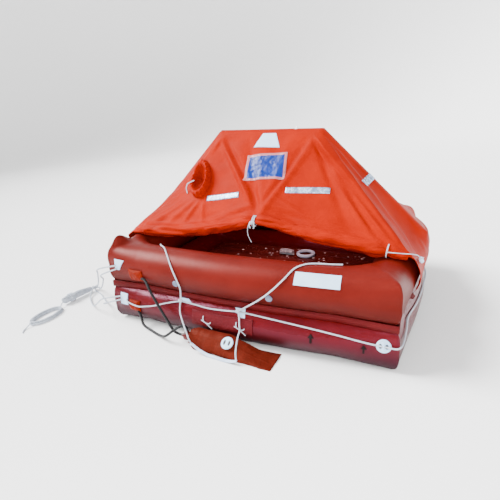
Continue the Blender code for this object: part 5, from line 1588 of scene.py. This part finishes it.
def make_groups():
    """Shared effects: woven threads, mottled colour with soil, and crumpled creases."""
    weave, place, scale, end = new_group("weave", 300.0, "Height")
    scaled = add_node(weave, "VectorMath", {0: place, "Scale": scale}, operation="SCALE").outputs[0]
    axes = add_node(weave, "SeparateXYZ", {0: scaled}).outputs
    warp = maths(weave, "SINE", axes["X"])
    weft = maths(weave, "SINE", maths(weave, "ADD", axes["Y"], axes["Z"]))
    weave.links.new(maths(weave, "MULTIPLY", warp, weft), end["Height"])

    mottle, place, scale, end = new_group("mottle", 6.0, "Tone", "Soil")
    cloud = clouds(mottle, place, scale, Detail=5.0, Roughness=0.6)["Fac"]
    mottle.links.new(mapped(mottle, cloud, 0.3, 0.7), end["Tone"])
    finer = maths(mottle, "MULTIPLY", scale, 5.0)
    specks = clouds(mottle, place, finer, Detail=8.0, Roughness=0.7)["Fac"]
    mottle.links.new(mapped(mottle, specks, 0.55, 0.80), end["Soil"])

    crumple, place, scale, end = new_group("crumple", 20.0, "Height")
    bend = clouds(crumple, place, scale, Detail=2.0)["Color"]
    shift = add_node(crumple, "VectorMath", {0: bend, "Scale": 0.05}, operation="SCALE").outputs[0]
    moved = add_node(crumple, "VectorMath", {0: place, 1: shift}, operation="ADD").outputs[0]
    ridge = clouds(crumple, moved, scale, Detail=4.0, Roughness=0.55, Distortion=0.8)["Fac"]
    folded = maths(crumple, "ABSOLUTE", maths(crumple, "SUBTRACT", ridge, 0.5))
    crumple.links.new(folded, end["Height"])
    return {"weave": weave, "mottle": mottle, "crumple": crumple}


def material(name, dark, light, roughness, tone_scale, soil=None, soil_share=0.0, weave=0.0,
             weave_scale=900.0, crumple=0.0, crumple_scale=18.0, metallic=0.0, rough_vary=0.1, painted_shade=None,
             gloss=0.5, tint=(1, 1, 1), glow=0.0, glow_colour=(1, 1, 1), shade=None):
    """Material of two mottled tones with soil, threads and creases in its normals.

    The colour given for the mesh's own mask is painted shade where the mask is 1, as in holes, in
    creases, on undersides and inside the sleeve. gloss and tint set the strength and the colour of
    reflections, and glow is painted light: an emission that stands in for light coming through the cloth.
    shade gives a lower height, an upper one and the share of the colour that stays at the lower, where
    the surface is rougher too; this is painted shade, darker towards the bottom.
    """
    made = bpy.data.materials.new(name)
    made.use_nodes = True
    tree = made.node_tree
    shader = tree.nodes["Principled BSDF"]
    place = add_node(tree, "TexCoord").outputs["Object"]

    def effect(kind, scale):
        """Outputs of a shared effect on this material's own place."""
        return add_node(tree, "Group", {"Vector": place, "Scale": scale}, node_tree=GROUPS[kind]).outputs

    mottle = effect("mottle", tone_scale)
    colour = mixed(tree, mottle["Tone"], dark, light)
    if soil is not None:
        colour = mixed(tree, maths(tree, "MULTIPLY", mottle["Soil"], soil_share), colour, soil)
    # Painted shade: the colour turns to the given dark colour where the mesh's own mask is 1.
    if painted_shade is not None:
        colour = mixed(tree, add_node(tree, "Attribute", attribute_name="painted_shade").outputs["Fac"], colour, painted_shade)
    rough = mapped(tree, mottle["Tone"], 0.0, 1.0, roughness - rough_vary / 2, roughness + rough_vary / 2)
    # Painted shade: the colour darkens towards the bottom, down to the given share at the lower height.
    if shade is not None:
        low, high, share = shade
        height = add_node(tree, "SeparateXYZ", {0: place}).outputs["Z"]
        kept = mapped(tree, height, low, high, share, 1.0, interpolation_type="SMOOTHSTEP")
        colour = mixed(tree, 1.0, colour, kept, "MULTIPLY")
        duller = maths(tree, "MULTIPLY_ADD", kept, -SHADE_ROUGHER, rough)
        rough = maths(tree, "ADD", duller, SHADE_ROUGHER)
    tree.links.new(colour, shader.inputs["Base Color"])
    tree.links.new(rough, shader.inputs["Roughness"])
    normal = {}
    for kind, strength, scale, depth in (("crumple", crumple, crumple_scale, CREASE_DEPTH),
                                         ("weave", weave, weave_scale, THREAD_DEPTH)):
        if strength:
            inputs = {"Height": effect(kind, scale)["Height"], "Distance": depth, "Strength": strength}
            normal = {"Normal": add_node(tree, "Bump", {**inputs, **normal}).outputs["Normal"]}
    if normal:
        tree.links.new(normal["Normal"], shader.inputs["Normal"])
    plain = {"Metallic": metallic, "Specular IOR Level": gloss, "Specular Tint": (*tint, 1),
             "Emission Color": (*glow_colour, 1), "Emission Strength": glow}
    for socket, value in plain.items():
        shader.inputs[socket].default_value = value
    return made


LOOKS = {
    # finish: dark and light tone, roughness, fineness of the mottling, soil and its share; other values
    # The mask colours given in cloth, white_patch and strap are painted shade.
    "cloth": (((0.230, 0.0060, 0.0003), (0.310, 0.0098, 0.0006), 0.50, 5.0, (0.16, 0.005, 0.001), 0.15),
              dict(weave=0.3, crumple=0.16, crumple_scale=16.0, painted_shade=(0.15, 0.006, 0.002), gloss=0.05,
                   tint=(1.0, 0.22, 0.06))),
    # cloth_inner's glow is painted light: the inside of the canopy glows as if lit through the cloth.
    "cloth_inner": (((0.20, 0.012, 0.006), (0.28, 0.018, 0.010), 0.6, 5.0),
                    dict(weave=0.3, crumple=0.16, crumple_scale=16.0, gloss=0.05, glow=0.09,
                         glow_colour=(0.80, 0.050, 0.030))),
    # In hull_upper and hull_lower, shade paints shade: each tube's colour darkens towards its bottom.
    "hull_upper": (((0.082, 0.0050, 0.0032), (0.112, 0.0072, 0.0048), 0.40, 4.0, (0.06, 0.005, 0.004), 0.2),
                   dict(weave=0.15, crumple=0.10, crumple_scale=14.0, gloss=0.20, tint=(1.0, 0.30, 0.26),
                        shade=(0.29, 0.45, 0.55))),
    "hull_lower": (((0.064, 0.0020, 0.0018), (0.088, 0.0030, 0.0028), 0.22, 4.0, (0.03, 0.002, 0.002), 0.3),
                   dict(weave=0.15, crumple=0.12, crumple_scale=14.0, gloss=0.32, tint=(1.0, 0.34, 0.60),
                        shade=(0.03, 0.20, 0.10))),
    "arch": (((0.20, 0.012, 0.006), (0.26, 0.018, 0.010), 0.4, 5.0),
             dict(weave=0.2, crumple=0.1, gloss=0.2, tint=(1.0, 0.45, 0.35))),
    "band": (((0.060, 0.0035, 0.0035), (0.090, 0.0055, 0.0055), 0.5, 9.0),
             dict(weave=0.3, crumple=0.2, crumple_scale=30.0, gloss=0.15, tint=(1.0, 0.4, 0.5))),
    "floor": (((0.060, 0.0085, 0.0075), (0.095, 0.0140, 0.0120), 0.25, 7.0, (0.012, 0.006, 0.006), 0.3),
              dict(weave=0.2, crumple=0.15, gloss=0.4, tint=(1.0, 0.6, 0.6))),
    "pocket": (((0.064, 0.0060, 0.0027), (0.088, 0.0088, 0.0045), 0.55, 8.0, (0.05, 0.006, 0.004), 0.3),
               dict(weave=0.3, crumple=0.25, crumple_scale=22.0, gloss=0.08, tint=(1.0, 0.5, 0.3))),
    "flap": (((0.062, 0.0040, 0.0045), (0.090, 0.0060, 0.0070), 0.45, 7.0),
             dict(weave=0.3, crumple=0.25, crumple_scale=26.0, gloss=0.2, tint=(1.0, 0.4, 0.6))),
    "cover": (((0.120, 0.0060, 0.0018), (0.175, 0.0105, 0.0032), 0.5, 12.0, (0.06, 0.004, 0.002), 0.4),
              dict(weave=0.3, crumple=0.4, crumple_scale=40.0, gloss=0.08, tint=(1.0, 0.4, 0.2))),
    "rope": (((0.34, 0.38, 0.45), (0.52, 0.56, 0.62), 0.75, 40.0, (0.26, 0.29, 0.34), 0.4),
             dict(weave=0.5, weave_scale=2200.0, gloss=0.2)),
    "white_patch": (((0.42, 0.62, 0.86), (0.52, 0.72, 0.92), 0.45, 14.0, (0.50, 0.52, 0.60), 0.25),
                    dict(weave=0.2, crumple=0.15, crumple_scale=40.0, painted_shade=(0.03, 0.02, 0.025), gloss=0.3)),
    "reflector": (((0.09, 0.14, 0.26), (0.50, 0.62, 0.80), 0.26, 38.0),
                  dict(crumple=0.25, crumple_scale=45.0, metallic=0.5, rough_vary=0.2)),
    "grey_plug": (((0.10, 0.12, 0.19), (0.17, 0.20, 0.28), 0.45, 30.0),
                  dict(crumple=0.1, crumple_scale=80.0, gloss=0.3)),
    "hose": (((0.004, 0.004, 0.005), (0.009, 0.009, 0.010), 0.42, 30.0, (0.02, 0.02, 0.02), 0.3),
             dict(weave=0.4, weave_scale=1500.0, gloss=0.2)),
    "cylinder": (((0.060, 0.0030, 0.0035), (0.095, 0.0050, 0.0050), 0.35, 20.0, (0.04, 0.004, 0.004), 0.4),
                 dict(crumple=0.1, crumple_scale=60.0, gloss=0.3)),
    "valve": (((0.055, 0.0030, 0.0035), (0.085, 0.0050, 0.0055), 0.4, 30.0),
              dict(crumple=0.1, crumple_scale=90.0, gloss=0.3)),
    "strap": (((0.45, 0.56, 0.76), (0.62, 0.72, 0.88), 0.6, 25.0),
              dict(weave=0.6, weave_scale=1200.0, painted_shade=(0.006, 0.012, 0.045), gloss=0.2)),
    "lamp": (((0.80, 0.80, 0.82), (0.90, 0.90, 0.91), 0.2, 30.0), dict(crumple=0.05)),
    "print": (((0.004, 0.002, 0.002), (0.008, 0.004, 0.004), 0.6, 60.0),
              dict(crumple=0.1, crumple_scale=90.0, gloss=0.1)),
    "water": (((0.30, 0.26, 0.28), (0.60, 0.56, 0.60), 0.05, 30.0), dict(rough_vary=0.04)),
}


def make_finishes():
    """Materials of the raft's slots and of the pieces that have a finish of their own."""
    made = {name: material(name + "_finish", *values, **others) for name, (values, others) in LOOKS.items()}
    made["blue_sign"] = sign_material()
    return made


def sign_material():
    """Blank blue plastic panel with a pale border, wrinkled and glossy."""
    made = material("sign_finish", (0.0040, 0.0180, 0.150), (0.0072, 0.0290, 0.215), 0.16, 12.0, crumple=0.38,
                    crumple_scale=26.0, rough_vary=0.08, gloss=0.18, tint=(0.8, 0.9, 1.0))
    tree = made.node_tree
    shader = tree.nodes["Principled BSDF"]
    fill = shader.inputs["Base Color"].links[0].from_socket
    axes = add_node(tree, "SeparateXYZ", {0: add_node(tree, "TexCoord").outputs["UV"]}).outputs
    edges = []
    for axis, size in (("X", 0.28), ("Y", 0.192)):
        distance = maths(tree, "ABSOLUTE", maths(tree, "SUBTRACT", axes[axis], 0.5))
        metres = maths(tree, "MULTIPLY", distance, size)
        edges.append(maths(tree, "SUBTRACT", metres, size / 2 - SIGN_BORDER))
    rim = maths(tree, "GREATER_THAN", maths(tree, "MAXIMUM", *edges), 0.0)
    tree.links.new(mixed(tree, rim, fill, (0.40, 0.14, 0.15)), shader.inputs["Base Color"])
    return made


# Stage

STAGE_FLAT = 9.0
STAGE_BEND = 4.0
STAGE_TOP = 6.0
WORLD_STRENGTH = 1.1
CAMERA_PLACE = (1.187, -2.767, 1.450)
CAMERA_LENS = 31.24
CAMERA_YAW = 0.4675
CAMERA_PITCH = 0.3534
CAMERA_ROLL = -0.066


def make_backdrop():
    """Plain pale floor that sweeps up into a round backdrop."""
    turn = full_turn(96)[None]
    rise = np.linspace(0, math.pi / 2, 25)
    sweep = np.stack([STAGE_FLAT + STAGE_BEND * np.sin(rise), STAGE_BEND * (1 - np.cos(rise))], -1)
    profile = np.vstack([[(0.02, 0.0), (3.0, 0.0)], sweep, [(STAGE_FLAT + STAGE_BEND, STAGE_TOP)]])
    points = np.stack(np.broadcast_arrays(profile[:, :1] * np.cos(turn), profile[:, :1] * np.sin(turn),
                                          profile[:, 1:] - 0.0005), -1)
    floor = make_object("stage_floor", points, tube_faces(len(profile), 96, 1), facing=UP)
    plain = bpy.data.materials.new("stage_finish")
    plain.use_nodes = True
    shader = plain.node_tree.nodes["Principled BSDF"]
    shader.inputs["Base Color"].default_value = (0.93, 0.93, 0.93, 1)
    shader.inputs["Roughness"].default_value = 0.9
    shader.inputs["Specular IOR Level"].default_value = 0.1
    floor.data.materials.append(plain)


def make_light(name, kind, direction, energy, place=(0, 0, 0), **settings):
    """Light that shines from its place in a direction."""
    data = bpy.data.lights.new(name, kind)
    data.energy = energy
    for key, value in settings.items():
        setattr(data, key, value)
    lamp = bpy.data.objects.new(name, data)
    lamp.location = place
    lamp.rotation_euler = Vector(direction).to_track_quat("-Z", "Y").to_euler()
    bpy.context.scene.collection.objects.link(lamp)


def make_lights():
    """Pale sky all round, a broad light from the upper left, one in front and a weak one under the canopy."""
    world = bpy.data.worlds.new("pale")
    world.use_nodes = True
    background = world.node_tree.nodes["Background"]
    background.inputs["Color"].default_value = (1, 1, 1, 1)
    background.inputs["Strength"].default_value = WORLD_STRENGTH
    bpy.context.scene.world = world
    make_light("sky_light", "SUN", (0.80, 0.18, -0.76), 11.0, angle=math.radians(30))
    make_light("front_light", "AREA", (-1.4, 4.2, -2.6), 150, (1.6, -4.2, 3.0), shape="DISK", size=1.2)
    make_light("inner_light", "AREA", (0.0, 0.12, -0.82), 8.0, (0.0, -0.02, 0.92), shape="DISK", size=0.20,
               color=(1.0, 0.50, 0.45))


def make_camera():
    """Camera at the photo's viewpoint: a direction from two angles, rolled a little round itself."""
    data = bpy.data.cameras.new("camera")
    data.sensor_width = 36
    data.lens = CAMERA_LENS
    camera = bpy.data.objects.new("camera", data)
    level = math.cos(CAMERA_PITCH)
    forward = Vector((-math.sin(CAMERA_YAW) * level, math.cos(CAMERA_YAW) * level, -math.sin(CAMERA_PITCH)))
    right = forward.cross(Vector((0, 0, 1))).normalized()
    upward = right.cross(forward)
    turned_right = math.cos(CAMERA_ROLL) * right + math.sin(CAMERA_ROLL) * upward
    turned_up = -math.sin(CAMERA_ROLL) * right + math.cos(CAMERA_ROLL) * upward
    turn = Matrix((turned_right, turned_up, -forward)).transposed()
    camera.matrix_world = Matrix.Translation(CAMERA_PLACE) @ turn.to_4x4()
    bpy.context.scene.collection.objects.link(camera)
    bpy.context.scene.camera = camera


GROUPS = make_groups()
FINISHES = make_finishes()
make_tubes()
make_band()
TREE = make_canopy()
make_cloth_patches(TREE)
make_sleeve(TREE)
make_roll()
make_ties(TREE)
make_lifelines()
make_boarding_ropes()
make_step_strap()
make_painter()
make_fittings()
make_pocket()
make_hoses()
make_pocket_disc()
make_floor()
make_drops()
make_throwing_ring()
make_inner_strap()
paint_arch()
make_backdrop()
make_lights()
make_camera()
